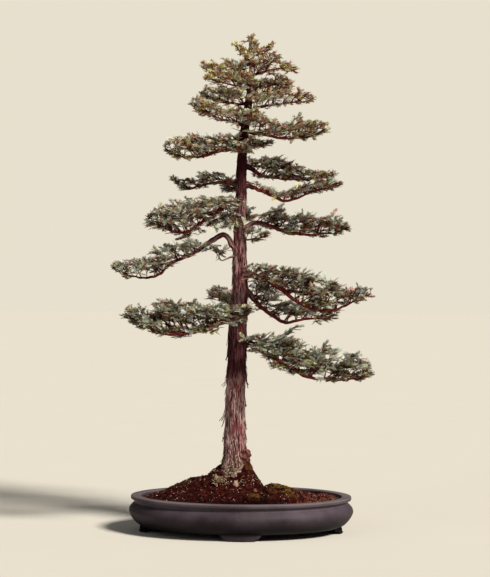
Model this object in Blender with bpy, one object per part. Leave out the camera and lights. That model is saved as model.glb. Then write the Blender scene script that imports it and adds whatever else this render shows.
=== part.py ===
"""Coast redwood bonsai, a formal upright tree, standing in a shallow oval pot of unglazed clay.

Metres, +Z up. The origin is on the surface that the pot stands on, under the middle of the pot.
-Y is the front of the tree, and the long side of the pot runs along X.
Pieces: the pot, two drainage screens, the soil with its mound and moss humps, the wood of the tree
(trunk and bare branches in one piece), and one node of leafy twigs for each branch.
"""

import math
import random

import bmesh
import bpy
from mathutils import Vector

MM = 0.001
UP = Vector((0.0, 0.0, 1.0))
GAP = 0.3 * MM  # between pieces that touch

# The pot: its outline is an ellipse, and a section point is (inset from the outline, height) in mm.
POT_HALF_LENGTH = 250 * MM
POT_HALF_DEPTH = 182 * MM
POT_SIDES = 32
FOOT_HEIGHT = 12.5
POT_FLOOR = 22
POT_OUTSIDE = (
    (28, FOOT_HEIGHT), (16, 20), (6, 32), (0.5, 43), (0, 48), (2, 55), (9, 62.5),
    (12, 64), (12, 71), (6, 72), (4.5, 73.5), (4.5, 79), (6, 80),
)
POT_INSIDE = ((25, 80), (26.5, 78.5), (26.5, 68), (14, 58), (11, 48), (16, 34), (38, POT_FLOOR))
FOOT_TOP = 90 * MM
FOOT_BOTTOM = 54 * MM
FOOT_THICKNESS = 17 * MM
FOOT_INSET = 30 * MM
FOOT_SAG = 0.35  # of its thickness, by which a foot's ends lie further in, under the curved wall
FOOT_OVERLAP = 3 * MM  # into the floor of the pot
DRAIN_RADIUS = 11 * MM
DRAIN_OFFSET = 105 * MM
DRAIN_CUT = 40 * MM  # longer than the floor is thick
SCREEN_SIDE = 34 * MM
SCREEN_THICKNESS = 1.2 * MM
SCREEN_HOLES = 3
SCREEN_HOLE_SIDE = 7 * MM

# The soil: a mound that falls slowly to the left and steeply to the right, with two mossy humps.
SOIL_EDGE = 73 * MM
SOIL_TOP = 140 * MM
SOIL_CLEARANCE = 0.5  # mm, to the wall of the pot
SOIL_STEPS = (0.0, 0.08, 0.2, 0.38, 0.62, 0.84, 1.0)
SOIL_ROUGHNESS = 1.3 * MM
MOSS_HUMPS = (  # x, y, half axes along x and y, height, in mm
    (88, -18, 34, 52, 27), (46, -98, 34, 28, 11), (-128, 20, 45, 60, 6),
)

# The trunk: (height, x, radius) of its axis, in mm. It stands in a plain hole in the soil.
ROOT_RADIUS = 34 * MM
TRUNK_SIDES = 12
ROOT_BOTTOM = 45 * MM
TRUNK = (
    (142, -14, 33.5), (151, -14, 30), (166, -14, 26), (195, -15, 23.5), (229, -15, 22.6),
    (265, -15, 21), (303, -15, 20.2), (345, -13, 20.6), (395, -12, 19.6), (445, -11, 20),
    (500, -9, 18), (544, -7, 16.5), (604, -8, 14.5), (655, -8, 13), (705, -8, 12),
    (762, -6, 11), (809, -5, 10.6), (872, -2, 10), (939, 6, 8.6), (988, 12, 6.5),
    (1010, 13.5, 4.2), (1045, 12.5, 3), (1067, 11.3, 2.4),
)
FLUTES = (0.05, 0.035)  # depths of the trunk's three wide and five narrow flutes, as shares of its radius
BURL = (11, -13, 172, 9.5)  # x, y, z, radius in mm
SLIM_LIMB = 4.5  # mm, the root radius below which a branch has four sides

# Each branch: name, radius at the trunk, where its leaves begin, the half width of its spray,
# the height of its crown above the wood, the number of side twigs, and its route in mm.
BRANCHES = (
    ("right_low", 8.5, 0.12, 72, 72, 10, (
        (-11, 0, 420), (14, -8, 417), (40, -20, 405), (80, -40, 380), (118, -58, 358), (145, -68, 342),
        (176, -75, 338), (205, -82, 336), (235, -90, 341), (262, -95, 348), (280, -98, 358))),
    ("left_low", 8, 0.22, 66, 68, 10, (
        (-11, 0, 478), (-22, -28, 474), (-46, -60, 462), (-80, -82, 448), (-112, -92, 438),
        (-140, -97, 435), (-170, -98, 438), (-202, -98, 449), (-236, -95, 464), (-266, -92, 484))),
    ("front_low", 3.2, 0.35, 22, 12, 3, (
        (-11, 0, 484), (-6, -38, 485), (4, -58, 489), (16, -70, 497))),
    ("back_low", 5.5, 0.25, 38, 24, 5, (
        (-8, 5, 512), (-28, 40, 508), (-45, 80, 511), (-55, 120, 519), (-60, 164, 530))),
    ("right_mid_low", 7, 0.16, 52, 36, 6, (
        (-8, 0, 540), (12, 8, 532), (30, 18, 512), (48, 26, 494), (75, 36, 474), (100, 42, 464),
        (132, 46, 471), (172, 50, 474), (212, 54, 482))),
    ("right_mid_high", 7.5, 0.12, 62, 80, 10, (
        (-7, 0, 575), (16, -14, 572), (42, -28, 563), (70, -42, 549), (95, -54, 532), (118, -62, 513),
        (140, -68, 500), (165, -72, 493), (197, -76, 494), (218, -79, 501), (240, -82, 513),
        (262, -85, 522), (278, -87, 531))),
    ("left_mid", 6.8, 0.38, 38, 34, 7, (
        (-9, 0, 618), (-24, -3, 632), (-32, -6, 650), (-45, -9, 659), (-58, -12, 654), (-75, -15, 642),
        (-93, -18, 629), (-113, -21, 617), (-133, -24, 607), (-153, -27, 598), (-166, -29, 588),
        (-178, -30, 575), (-195, -32, 565), (-215, -34, 561), (-238, -36, 563), (-263, -38, 571),
        (-287, -40, 585))),
    ("left_mid_twig", 2.6, 0.62, 20, 8, 2, (
        (-8, 0, 612), (-24, -6, 611), (-36, -10, 606), (-48, -12, 602), (-54, -13, 609),
        (-57, -14, 621), (-70, -16, 632))),
    ("left_high", 6.5, 0.14, 58, 76, 9, (
        (-8, 0, 722), (-30, -12, 722), (-50, -24, 716), (-70, -33, 704), (-86, -40, 691),
        (-103, -46, 677), (-118, -50, 664), (-135, -52, 661), (-158, -54, 667), (-184, -56, 677),
        (-214, -60, 690))),
    ("right_high", 6.5, 0.24, 52, 42, 7, (
        (-8, 0, 676), (8, 4, 677), (20, 10, 685), (34, 15, 688), (61, 24, 681), (90, 33, 671),
        (121, 40, 664), (155, 46, 664), (183, 52, 667), (212, 57, 672), (238, 61, 681))),
    ("right_high_twig", 2.6, 0.4, 13, 9, 2, (
        (-7, 0, 650), (10, -12, 649), (33, -18, 650), (58, -22, 660))),
    ("right_upper", 5.4, 0.12, 40, 24, 7, (
        (-6, 0, 769), (10, -6, 769), (24, -12, 765), (38, -18, 759), (63, -28, 747), (82, -34, 738),
        (98, -38, 735), (123, -44, 741), (144, -48, 752), (174, -53, 760), (215, -60, 771))),
    ("right_upper_back", 5.2, 0.12, 44, 40, 7, (
        (-5, 0, 818), (12, 5, 811), (36, 14, 797), (55, 20, 792), (84, 28, 789), (114, 35, 787),
        (140, 40, 788), (170, 44, 793), (205, 48, 801))),
    ("left_upper", 5.2, 0.16, 36, 24, 6, (
        (-6, 0, 772), (-20, 4, 774), (-34, 8, 779), (-56, 14, 777), (-83, 20, 774), (-107, 25, 768),
        (-126, 28, 763), (-143, 31, 770), (-162, 33, 787))),
    ("left_upper_front", 5.4, 0.14, 46, 38, 7, (
        (-3, 0, 857), (-20, -5, 853), (-45, -14, 847), (-75, -24, 838), (-107, -33, 830),
        (-133, -38, 829), (-154, -42, 836), (-175, -46, 847))),
    ("right_crown_low", 5, 0.2, 46, 38, 7, (
        (-2, 0, 889), (-3, -15, 890), (20, -26, 885), (47, -34, 879), (74, -40, 874), (94, -44, 872),
        (114, -47, 873), (141, -50, 876), (167, -53, 884), (196, -56, 897))),
    ("right_crown_twig", 2.6, 0.3, 17, 8, 2, (
        (-1, 0, 862), (15, 8, 861), (38, 13, 863), (66, 17, 868))),
    ("left_crown_low", 4.4, 0.16, 40, 20, 6, (
        (3, 0, 905), (-12, -4, 909), (-40, -12, 915), (-75, -20, 925), (-97, -24, 938), (-117, -27, 953))),
    ("right_crown_mid", 3.8, 0.5, 28, 18, 4, (
        (7, 0, 938), (22, -4, 941), (48, -8, 947), (70, -12, 951), (92, -15, 953), (122, -18, 958),
        (155, -22, 965))),
    ("left_crown_mid", 3.4, 0.18, 30, 12, 4, (
        (8, 0, 955), (-10, 6, 954), (-40, 14, 958), (-70, 20, 965), (-98, 24, 976))),
    ("right_crown_high", 3.6, 0.2, 34, 18, 5, (
        (11, 0, 972), (26, 8, 976), (50, 16, 983), (76, 22, 990), (106, 26, 1000))),
    ("left_crown_high", 3.4, 0.2, 32, 16, 5, (
        (12, 0, 984), (-5, -13, 987), (-30, -25, 991), (-56, -33, 996), (-86, -39, 1004))),
    ("left_top_low", 3, 0.2, 30, 20, 5, (
        (13, 0, 1010), (0, 5, 1017), (-22, 10, 1020), (-50, 13, 1023), (-75, 15, 1027), (-97, 16, 1036))),
    ("right_top_low", 3, 0.2, 30, 20, 5, (
        (14, 0, 1014), (30, -6, 1020), (55, -12, 1027), (80, -16, 1031), (100, -18, 1031), (120, -19, 1025))),
    ("left_top", 2, 0.3, 13, 6, 2, (
        (12, 0, 1050), (0, -5, 1062), (-12, -8, 1071), (-27, -10, 1084))),
    ("right_top", 2, 0.3, 13, 6, 2, (
        (12, 0, 1052), (26, 4, 1062), (43, 6, 1072), (64, 7, 1087))),
    ("back_mid", 5.4, 0.2, 46, 26, 6, (
        (-8, 4, 702), (-3, 40, 704), (4, 80, 701), (9, 118, 702), (13, 155, 712))),
    ("back_upper", 4.6, 0.2, 38, 20, 5, (
        (-5, 4, 766), (-12, 34, 769), (-22, 68, 767), (-30, 100, 768), (-37, 128, 776))),
    ("back_crown", 4, 0.2, 38, 20, 5, (
        (-2, 3, 866), (4, 32, 868), (9, 64, 866), (12, 92, 868), (15, 116, 875))),
    ("front_crown", 3, 0.3, 22, 12, 3, (
        (-3, 0, 844), (-6, -26, 846), (-9, -48, 845), (-12, -68, 842))),
    ("front_crown_high", 3.2, 0.25, 28, 16, 4, (
        (4, 0, 910), (10, -26, 913), (14, -50, 913), (16, -74, 913))),
    ("back_crown_high", 3.6, 0.22, 32, 16, 4, (
        (6, 3, 926), (2, 30, 931), (-4, 62, 932), (-9, 98, 940))),
    ("front_top", 2.4, 0.3, 20, 10, 3, (
        (13, 0, 1000), (6, -19, 1003), (-2, -37, 1005), (-7, -53, 1009))),
    ("back_top", 2.8, 0.22, 26, 14, 4, (
        (12, 2, 990), (18, 28, 996), (22, 54, 999), (25, 82, 1006))),
    ("back_top_high", 2, 0.3, 16, 8, 2, (
        (13, 1, 1036), (9, 20, 1042), (5, 46, 1051))),
    ("front_top_high", 2, 0.3, 14, 8, 2, (
        (13, 0, 1038), (10, -16, 1043), (5, -36, 1049))),
    ("apex", 2.2, 0.3, 13, 4, 3, (
        (11.5, 0, 1056), (11, 0, 1070), (10, 0, 1087), (8, 0, 1107))),
)

# The leafy twigs, three-sided, with needles all round.
NEEDLE_LENGTH = 12 * MM
NEEDLE_FORWARD = 0.62  # how far a needle leans towards the twig's tip
TWIG_STEP = 13 * MM  # from one ring of a twig to the next, with a needle on each side
BARE_STEP = 22 * MM
LIMB_STEP = 15 * MM
TWIG_RADIUS = 1.9 * MM
TIP_SHARE = 0.3  # of a twig's radius at its root, at its tip
TIP_RADIUS = 0.6 * MM  # of a branch
BARE_SHARE = 0.24  # of a side twig, without needles
SHRINKING = (1.0, 0.8, 0.62, 0.48)  # lengths that a side twig is tried at, until it has room
TWIG_CLEARANCE = 22 * MM  # between the axes of twigs of two nodes
SISTER_CLEARANCE = 15 * MM  # between the outer halves of two twigs of one node
WOOD_CLEARANCE = 12 * MM  # between a twig's axis and the wood's surface
NEEDLED_SHARE = 0.45  # of a branch's leafy stretch, that carries needles on its own axis
SEED = 11


def clear_scene():
    for obj in list(bpy.data.objects):
        bpy.data.objects.remove(obj, do_unlink=True)
    for name in ("coast_redwood_bonsai", "construction"):
        collection = bpy.data.collections.new(name)
        bpy.context.scene.collection.children.link(collection)


def material(name, colour, roughness):
    made = bpy.data.materials.new(name)
    made.use_nodes = True
    surface = made.node_tree.nodes["Principled BSDF"]
    surface.inputs["Base Color"].default_value = (*colour, 1.0)
    surface.inputs["Roughness"].default_value = roughness
    return made


def add_construction(name, data):
    obj = bpy.data.objects.new(name, data)
    bpy.data.collections["construction"].objects.link(obj)
    obj.hide_render = True
    obj.display_type = "WIRE"
    return obj


def add_piece(obj, finish, sharp_from=40):
    """Makes a construction object one of the bonsai's pieces, shaded smooth but for its sharp edges."""
    bpy.data.collections["construction"].objects.unlink(obj)
    bpy.data.collections["coast_redwood_bonsai"].objects.link(obj)
    obj.hide_render = False
    obj.display_type = "TEXTURED"
    obj.data.materials.clear()
    obj.data.materials.append(finish)
    obj.data.shade_smooth()
    obj.data.set_sharp_from_angle(angle=math.radians(sharp_from))


def evaluated_mesh(obj):
    """The object's mesh with its modifiers applied, in its own space."""
    graph = bpy.context.evaluated_depsgraph_get()
    graph.update()
    return bpy.data.meshes.new_from_object(obj.evaluated_get(graph))


def remove(*objects):
    for obj in objects:
        bpy.data.objects.remove(obj, do_unlink=True)


def boolean(obj, operation, others, crossed=False):
    """Joins obj with the other objects, which may be crossed, or cuts it by them, and removes them."""
    tools = bpy.data.collections.new("tools")
    bpy.context.scene.collection.children.link(tools)
    for other in others:
        for home in list(other.users_collection):
            home.objects.unlink(other)
        tools.objects.link(other)
    modifier = obj.modifiers.new("join", "BOOLEAN")
    modifier.operation = operation
    modifier.operand_type = "COLLECTION"
    modifier.collection = tools
    modifier.use_self = crossed
    joined = evaluated_mesh(obj)
    obj.modifiers.clear()
    obj.data = joined
    remove(*others)
    bpy.data.collections.remove(tools)


def smooth_route(points, spacing):
    """Points about `spacing` apart on a smooth curve (Catmull-Rom) through the given points."""
    dense = []
    ends = [points[0] * 2 - points[1], *points, points[-1] * 2 - points[-2]]
    for a, b, c, d in zip(ends, ends[1:], ends[2:], ends[3:]):
        for k in range(12):
            t = k / 12
            dense.append(0.5 * (2 * b + (c - a) * t + (2 * a - 5 * b + 4 * c - d) * t * t
                                + (3 * b - a - 3 * c + d) * t ** 3))
    dense.append(points[-1].copy())
    return resample(dense, spacing)


def resample(line, spacing):
    lengths = [0.0]
    for a, b in zip(line, line[1:]):
        lengths.append(lengths[-1] + (b - a).length)
    count = max(2, round(lengths[-1] / spacing))
    found, k = [], 0
    for i in range(count + 1):
        at = lengths[-1] * i / count
        while k < len(lengths) - 2 and lengths[k + 1] < at:
            k += 1
        share = (at - lengths[k]) / max(lengths[k + 1] - lengths[k], 1e-9)
        found.append(line[k].lerp(line[k + 1], share))
    return found


def tube(name, points, radii, section=None):
    """A mesh object: a tube along the points, with a radius for each, round or of the given section."""
    curve = bpy.data.curves.new(name, "CURVE")
    curve.dimensions = "3D"
    curve.twist_mode = "Z_UP"
    curve.use_fill_caps = True
    if section:
        curve.bevel_mode = "OBJECT"
        curve.bevel_object = section
    else:
        curve.bevel_depth = 1.0
        curve.bevel_resolution = 1
    spline = curve.splines.new("POLY")
    spline.points.add(len(points) - 1)
    for point, place, radius in zip(spline.points, points, radii):
        point.co = (*place, 1.0)
        point.radius = radius
    guide = add_construction(name + "_guide", curve)
    mesh = evaluated_mesh(guide)
    remove(guide)
    form = bmesh.new()
    form.from_mesh(mesh)
    bmesh.ops.remove_doubles(form, verts=form.verts, dist=0.01 * MM)
    bmesh.ops.recalc_face_normals(form, faces=form.faces)
    form.to_mesh(mesh)
    form.free()
    return add_construction(name, mesh)


def loft(name, rings):
    """A closed solid through rings of equally many points, with its first and last ring filled."""
    form = bmesh.new()
    loops = [[form.verts.new(p) for p in ring] for ring in rings]
    for low, high in zip(loops, loops[1:]):
        for k in range(len(low)):
            form.faces.new((low[k - 1], low[k], high[k], high[k - 1]))
    form.faces.new(loops[0])
    form.faces.new(loops[-1])
    bmesh.ops.recalc_face_normals(form, faces=form.faces)
    mesh = bpy.data.meshes.new(name)
    form.to_mesh(mesh)
    form.free()
    return add_construction(name, mesh)


def oval_point(angle, inset):
    """A point of the pot's outline, moved inwards by the inset in mm."""
    c, s = math.cos(angle), math.sin(angle)
    outward = Vector((POT_HALF_DEPTH * c, POT_HALF_LENGTH * s)).normalized()
    return Vector((POT_HALF_LENGTH * c, POT_HALF_DEPTH * s)) - outward * inset * MM


def oval_ring(inset, height):
    angles = [2 * math.pi * k / POT_SIDES for k in range(POT_SIDES)]
    return [Vector((*oval_point(angle, inset), height * MM)) for angle in angles]


def cylinder(name, place, radius, depth, sides=14):
    form = bmesh.new()
    bmesh.ops.create_cone(form, cap_ends=True, segments=sides, radius1=radius, radius2=radius, depth=depth)
    bmesh.ops.translate(form, verts=form.verts, vec=place)
    mesh = bpy.data.meshes.new(name)
    form.to_mesh(mesh)
    form.free()
    return add_construction(name, mesh)


def block(name, low, high):
    form = bmesh.new()
    bmesh.ops.create_cube(form, size=1.0)
    for vert in form.verts:
        vert.co = Vector(((h + l) / 2 + c * (h - l) for c, l, h in zip(vert.co, low, high)))
    mesh = bpy.data.meshes.new(name)
    form.to_mesh(mesh)
    form.free()
    return add_construction(name, mesh)


def foot(name, angle):
    """One of the pot's feet, under the middle of a side: a low block with slanting ends."""
    outward = Vector((round(math.cos(angle)), round(math.sin(angle)), 0))
    along = outward.cross(UP)
    edge = Vector((*oval_point(angle, FOOT_INSET / MM), 0))
    obj = block(name, (-0.5, -0.5, 0), (0.5, 0.5, 1))
    for vert in obj.data.vertices:
        across, depth, top = vert.co
        width = FOOT_TOP if top > 0.5 else FOOT_BOTTOM
        sag = abs(across) * 2 * FOOT_THICKNESS * FOOT_SAG
        height = FOOT_HEIGHT * MM + FOOT_OVERLAP if top > 0.5 else 0
        outwards = (depth - 0.5) * FOOT_THICKNESS - sag
        vert.co = edge + along * across * width + outward * outwards + UP * height
    return obj


def make_pot():
    """The pot is a loft, because rings at an even inset from an ellipse are not ellipses themselves."""
    pot = loft("pot", [oval_ring(*point) for point in (*POT_OUTSIDE, *POT_INSIDE)])
    feet = [foot(f"foot_{k}", k * math.pi / 2) for k in range(4)]
    boolean(pot, "UNION", feet)
    drains = [cylinder(f"drain_{side}", (side * DRAIN_OFFSET, 0, POT_FLOOR * MM), DRAIN_RADIUS, DRAIN_CUT)
              for side in (-1, 1)]
    boolean(pot, "DIFFERENCE", drains)
    add_piece(pot, material("unglazed_clay", (0.075, 0.062, 0.066), 0.62), sharp_from=32)


def make_screens():
    """A plastic mesh square over each drainage hole, lying on the floor of the pot under the soil."""
    finish = material("screen_plastic", (0.03, 0.03, 0.03), 0.5)
    floor = POT_FLOOR * MM + GAP
    half = SCREEN_SIDE / 2
    pitch = (SCREEN_SIDE - SCREEN_HOLES * SCREEN_HOLE_SIDE) / (SCREEN_HOLES + 1) + SCREEN_HOLE_SIDE
    for side, word in ((-1, "left"), (1, "right")):
        x = side * DRAIN_OFFSET
        top = floor + SCREEN_THICKNESS
        screen = block(f"drain_screen_{word}", (x - half, -half, floor), (x + half, half, top))
        holes = []
        for i in range(SCREEN_HOLES):
            for j in range(SCREEN_HOLES):
                cx = x + (i - (SCREEN_HOLES - 1) / 2) * pitch
                cy = (j - (SCREEN_HOLES - 1) / 2) * pitch
                reach = SCREEN_HOLE_SIDE / 2
                holes.append(block("hole", (cx - reach, cy - reach, 0), (cx + reach, cy + reach, 2 * top)))
        boolean(screen, "DIFFERENCE", holes)
        add_piece(screen, finish)


def soil_height(place, share, angle):
    """Height of the soil at a place that lies `share` of the way from the trunk to the pot's wall."""
    fall = 1.25 + 3.6 * ((1 + math.cos(angle)) / 2) ** 2
    height = SOIL_EDGE + (SOIL_TOP - SOIL_EDGE) * (1 - share) ** fall
    for x, y, half_x, half_y, rise in MOSS_HUMPS:
        away = ((place.x / MM - x) / half_x) ** 2 + ((place.y / MM - y) / half_y) ** 2
        height += rise * MM * max(0.0, 1 - away) ** 0.7
    lumps = math.sin(place.x * 190 + 1.3) * math.sin(place.y * 230 + 0.4)
    lumps += math.sin(place.x * 83 - place.y * 120)
    return height + SOIL_ROUGHNESS * lumps * math.sin(math.pi * share)


def make_soil():
    wall = [(inset + SOIL_CLEARANCE, height) for inset, height in reversed(POT_INSIDE[2:])]
    rings = [oval_ring(wall[0][0] + 1, wall[0][1] + GAP / MM)]
    rings += [oval_ring(*point) for point in wall[1:]]
    axis = Vector((TRUNK[0][1] * MM, 0))
    bore = ROOT_RADIUS + 2 * GAP
    for share in reversed(SOIL_STEPS):
        ring = []
        for k in range(POT_SIDES):
            angle = 2 * math.pi * k / POT_SIDES
            inner = axis + Vector((math.cos(angle), math.sin(angle))) * bore
            place = inner.lerp(oval_point(angle, wall[-1][0]), share)
            ring.append(Vector((*place, soil_height(place, share, angle))))
        rings.append(ring)
    rings.append([Vector((p.x, p.y, ROOT_BOTTOM - GAP)) for p in rings[-1]])
    soil = loft("soil", rings)
    half = SCREEN_SIDE / 2 + GAP
    top = POT_FLOOR * MM + SCREEN_THICKNESS + 2 * GAP
    pockets = [block("pocket", (x - half, -half, 0), (x + half, half, top))
               for x in (-DRAIN_OFFSET, DRAIN_OFFSET)]
    boolean(soil, "DIFFERENCE", pockets)
    add_piece(soil, material("soil_and_moss", (0.085, 0.045, 0.03), 0.95), sharp_from=60)


def branch_route(route):
    return smooth_route([Vector(point) * MM for point in route], 4 * MM)


def split_route(line, share):
    """The bare and the leafy stretch of a branch, which end on one flat face with the gap between them."""
    k = max(2, min(len(line) - 3, round(share * (len(line) - 1))))
    middle = line[k].lerp(line[k + 1], 0.5)
    along = (line[k + 1] - line[k]).normalized()
    return [*line[:k + 1], middle - along * GAP / 2], [middle + along * GAP / 2, *line[k + 1:]]


def branch_radius(root_radius, share):
    """A branch tapers from its root to a quarter of its thickness, fastest near the trunk."""
    return root_radius * MM * (0.25 + 0.75 * (1 - share) ** 1.3)


def thinned(line, spacing):
    """The line with points about `spacing` apart, and its ends kept as they are."""
    middle = resample(line[1:-1], spacing) if len(line) > 4 else line[1:-1]
    return [line[0], *middle, line[-1]]


def trunk_ring(height, x, radius):
    """A level ring of the trunk, pressed in and out by shallow flutes that wind a little round it."""
    ring = []
    for k in range(TRUNK_SIDES):
        angle = 2 * math.pi * k / TRUNK_SIDES
        flute = FLUTES[0] * math.sin(3 * angle + height / 70) + FLUTES[1] * math.sin(5 * angle - height / 32)
        reach = radius * (1 + flute)
        ring.append(Vector((x + math.cos(angle) * reach, math.sin(angle) * reach, height)) * MM)
    return ring


def make_trunk():
    """The trunk, with plain round root stock where it stands in the soil."""
    x = TRUNK[0][1] * MM
    angles = [2 * math.pi * k / TRUNK_SIDES for k in range(TRUNK_SIDES)]
    root = [[Vector((x + math.cos(a) * ROOT_RADIUS, math.sin(a) * ROOT_RADIUS, height)) for a in angles]
            for height in (ROOT_BOTTOM, SOIL_TOP + GAP)]
    return loft("tree_wood", root + [trunk_ring(*level) for level in TRUNK])


def make_burl():
    form = bmesh.new()
    bmesh.ops.create_icosphere(form, subdivisions=1, radius=BURL[3] * MM)
    bmesh.ops.translate(form, verts=form.verts, vec=Vector(BURL[:3]) * MM)
    mesh = bpy.data.meshes.new("burl")
    form.to_mesh(mesh)
    form.free()
    return add_construction("burl", mesh)


def make_wood(routes):
    """The trunk and every branch up to where its leaves begin, grown together in one piece."""
    trunk = make_trunk()
    square = regular_section(4)
    grown = [make_burl()]
    for (name, root_radius, leaf_from, *_), line in zip(BRANCHES, routes):
        bare, _ = split_route(line, leaf_from)
        points = thinned(bare, LIMB_STEP)
        radii = [branch_radius(root_radius, leaf_from * k / (len(points) - 1)) for k in range(len(points))]
        grown.append(tube(f"limb_{name}", points, radii, section=square if root_radius < SLIM_LIMB else None))
    remove(square)
    boolean(trunk, "UNION", grown)
    add_piece(trunk, material("redwood_bark", (0.17, 0.072, 0.055), 0.9))


def bell(share, low):
    """A profile along a leafy stretch: `low` beside the trunk, 1 before the middle, less at the tip."""
    return low + (1 - low) * math.sin(math.pi * min(1.0, 0.14 + share * 0.86)) ** 0.8


def level_direction(line, k):
    """The way that a line runs at its k-th point, seen from above."""
    ahead = line[min(len(line) - 1, k + 1)] - line[k - 1]
    flat = Vector((ahead.x, ahead.y, 0))
    return flat.normalized() if flat.length > 0.3 * ahead.length else Vector((1, 0, 0))


def twig_route(at, reach, rise):
    """A twig climbs first and then levels out."""
    middle = at + reach * 0.42 + UP * rise * 0.72
    end = at + reach + UP * rise
    line = []
    for k in range(9):
        t = k / 8
        line.append((1 - t) ** 2 * at + 2 * t * (1 - t) * middle + t * t * end)
    return resample(line, TWIG_STEP)


def side_twigs(branch, points, rng):
    """Root, reach and rise of the side twigs of a branch, in turn to its left, its right and up."""
    _, _, _, half_width, crown, count, _ = branch
    twigs = []
    for k in range(count):
        share = (k + 0.4) / count * 0.93
        index = max(1, round(share * (len(points) - 1)))
        ahead = level_direction(points, index)
        across = UP.cross(ahead)
        side = (-1, 0, 1, 0)[k % 4]
        wide = half_width * MM * bell(share, 0.4)
        tall = crown * MM * bell(share, 0.35)
        if side:
            turn = math.radians(rng.uniform(46, 66))
            reach = (ahead * math.cos(turn) + across * side * math.sin(turn)) * wide * rng.uniform(0.92, 1.06)
            rise = tall * rng.uniform(0.15, 0.55)
        else:
            reach = ahead * wide * rng.uniform(0.45, 0.75) + across * wide * rng.uniform(-0.35, 0.35)
            rise = tall * rng.uniform(0.7, 1.0)
        twigs.append((points[index], reach, rise))
    return twigs


def distance(line, others):
    """The least distance between two lines of points, measured from the points of the first."""
    least = 1.0
    for p in line:
        for a, b in zip(others, others[1:]):
            along = b - a
            share = max(0.0, min(1.0, (p - a).dot(along) / max(along.length_squared, 1e-12)))
            least = min(least, (p - a - along * share).length)
    return least


def is_clear(line, own_name, placed, wood):
    """Whether a twig's free stretch keeps its distance from the wood, other sprays and its own sisters."""
    for name, other in placed:
        if name == own_name and distance(line[len(line) // 2:], other) < SISTER_CLEARANCE:
            return False
        if name != own_name and distance(line, other) < TWIG_CLEARANCE:
            return False
    return all(distance(line, points) > radius + WOOD_CLEARANCE for points, radius in wood)


def draw_out_needles(obj, line, first_share, rng):
    """Draws a needle out of each side of the twig between one ring and the next, in turn further back."""
    form = bmesh.new()
    form.from_mesh(obj.data)
    chosen = []
    for face in form.faces:
        if len(face.verts) != 4:
            continue
        middle = face.calc_center_median()
        k = min(range(len(line) - 1), key=lambda i: (line[i].lerp(line[i + 1], 0.5) - middle).length)
        ahead = (line[k + 1] - line[k]).normalized()
        if k / (len(line) - 1) >= first_share:
            chosen.append((face, face.normal.copy(), ahead, k))
    for side, (face, outward, ahead, k) in enumerate(chosen):
        halves = bmesh.ops.triangulate(form, faces=[face])["faces"]
        halves.sort(key=lambda half: half.calc_center_median().dot(ahead))
        half = halves[(k + side) % 2]
        root = half.calc_center_median()
        length = NEEDLE_LENGTH * (1.0 - 0.3 * k / (len(line) - 1)) * rng.uniform(0.85, 1.05)
        tip = bmesh.ops.poke(form, faces=[half])["verts"][0]
        tip.co = root + (outward * 0.8 + ahead * NEEDLE_FORWARD).normalized() * length
    bmesh.ops.recalc_face_normals(form, faces=form.faces)
    form.to_mesh(obj.data)
    form.free()


def keep_largest_body(obj):
    """Drops the loose scraps, and the sealed hollows, that joining crossed twigs leaves."""
    form = bmesh.new()
    form.from_mesh(obj.data)
    unseen = set(form.verts)
    bodies = []
    while unseen:
        body, reached = set(), [unseen.pop()]
        while reached:
            vert = reached.pop()
            body.add(vert)
            near = {edge.other_vert(vert) for edge in vert.link_edges} & unseen
            unseen -= near
            reached.extend(near)
        bodies.append(body)
    largest = max(bodies, key=len)
    scraps = [vert for body in bodies if body is not largest for vert in body]
    bmesh.ops.delete(form, geom=scraps, context="VERTS")
    form.to_mesh(obj.data)
    form.free()


def make_twig(line, sections, rng):
    radii = [TWIG_RADIUS * (1 - (1 - TIP_SHARE) * k / (len(line) - 1)) for k in range(len(line))]
    twig = tube("twig", line, radii, section=sections[3])
    draw_out_needles(twig, line, BARE_SHARE, rng)
    return twig


def make_spray(branch, leafy, placed, wood, finish, sections):
    """The leafy twigs of one branch in one piece: its own outer stretch, and the twigs that grow from it."""
    name, root_radius, leaf_from, *_ = branch
    rng = random.Random(f"{SEED} {name}")
    turn = max(4, round((1 - NEEDLED_SHARE) * (len(leafy) - 1)))
    inner = [*leafy[:2], *resample(leafy[3:turn + 1], BARE_STEP)]
    points = inner + resample(leafy[turn:], TWIG_STEP)[1:]
    radii = [branch_radius(root_radius, leaf_from + (1 - leaf_from) * k / (len(points) - 1))
             for k in range(len(points))]
    radii[-1] = TIP_RADIUS
    bare = len(inner)
    spray = tube(f"leaves_{name}", points[:bare], radii[:bare], section=sections[4])
    tip = tube("tip", points[bare - 2:], [radii[bare - 2] * 0.8, *radii[bare - 1:]], section=sections[3])
    draw_out_needles(tip, points[bare - 2:], 0.1, rng)
    twigs = [tip]
    for at, reach, rise in side_twigs(branch, points, rng):
        for shrink in SHRINKING:
            line = twig_route(at, reach * shrink, rise * (0.5 + 0.5 * shrink))
            free = line[max(1, len(line) // 3):]
            if not is_clear(free, name, placed, wood):
                continue
            twigs.append(make_twig(line, sections, rng))
            placed.append((name, free))
            break
    boolean(spray, "UNION", twigs, crossed=True)
    keep_largest_body(spray)
    add_piece(spray, finish)


def regular_section(sides):
    """A closed polygon of radius 1 with a corner at its top, for a tube with this many sides."""
    curve = bpy.data.curves.new(f"section_{sides}", "CURVE")
    spline = curve.splines.new("POLY")
    spline.points.add(sides - 1)
    for k, point in enumerate(spline.points):
        angle = math.pi / 2 + 2 * math.pi * k / sides
        point.co = (math.cos(angle), math.sin(angle), 0, 1)
    spline.use_cyclic_u = True
    return add_construction(curve.name, curve)


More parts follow.
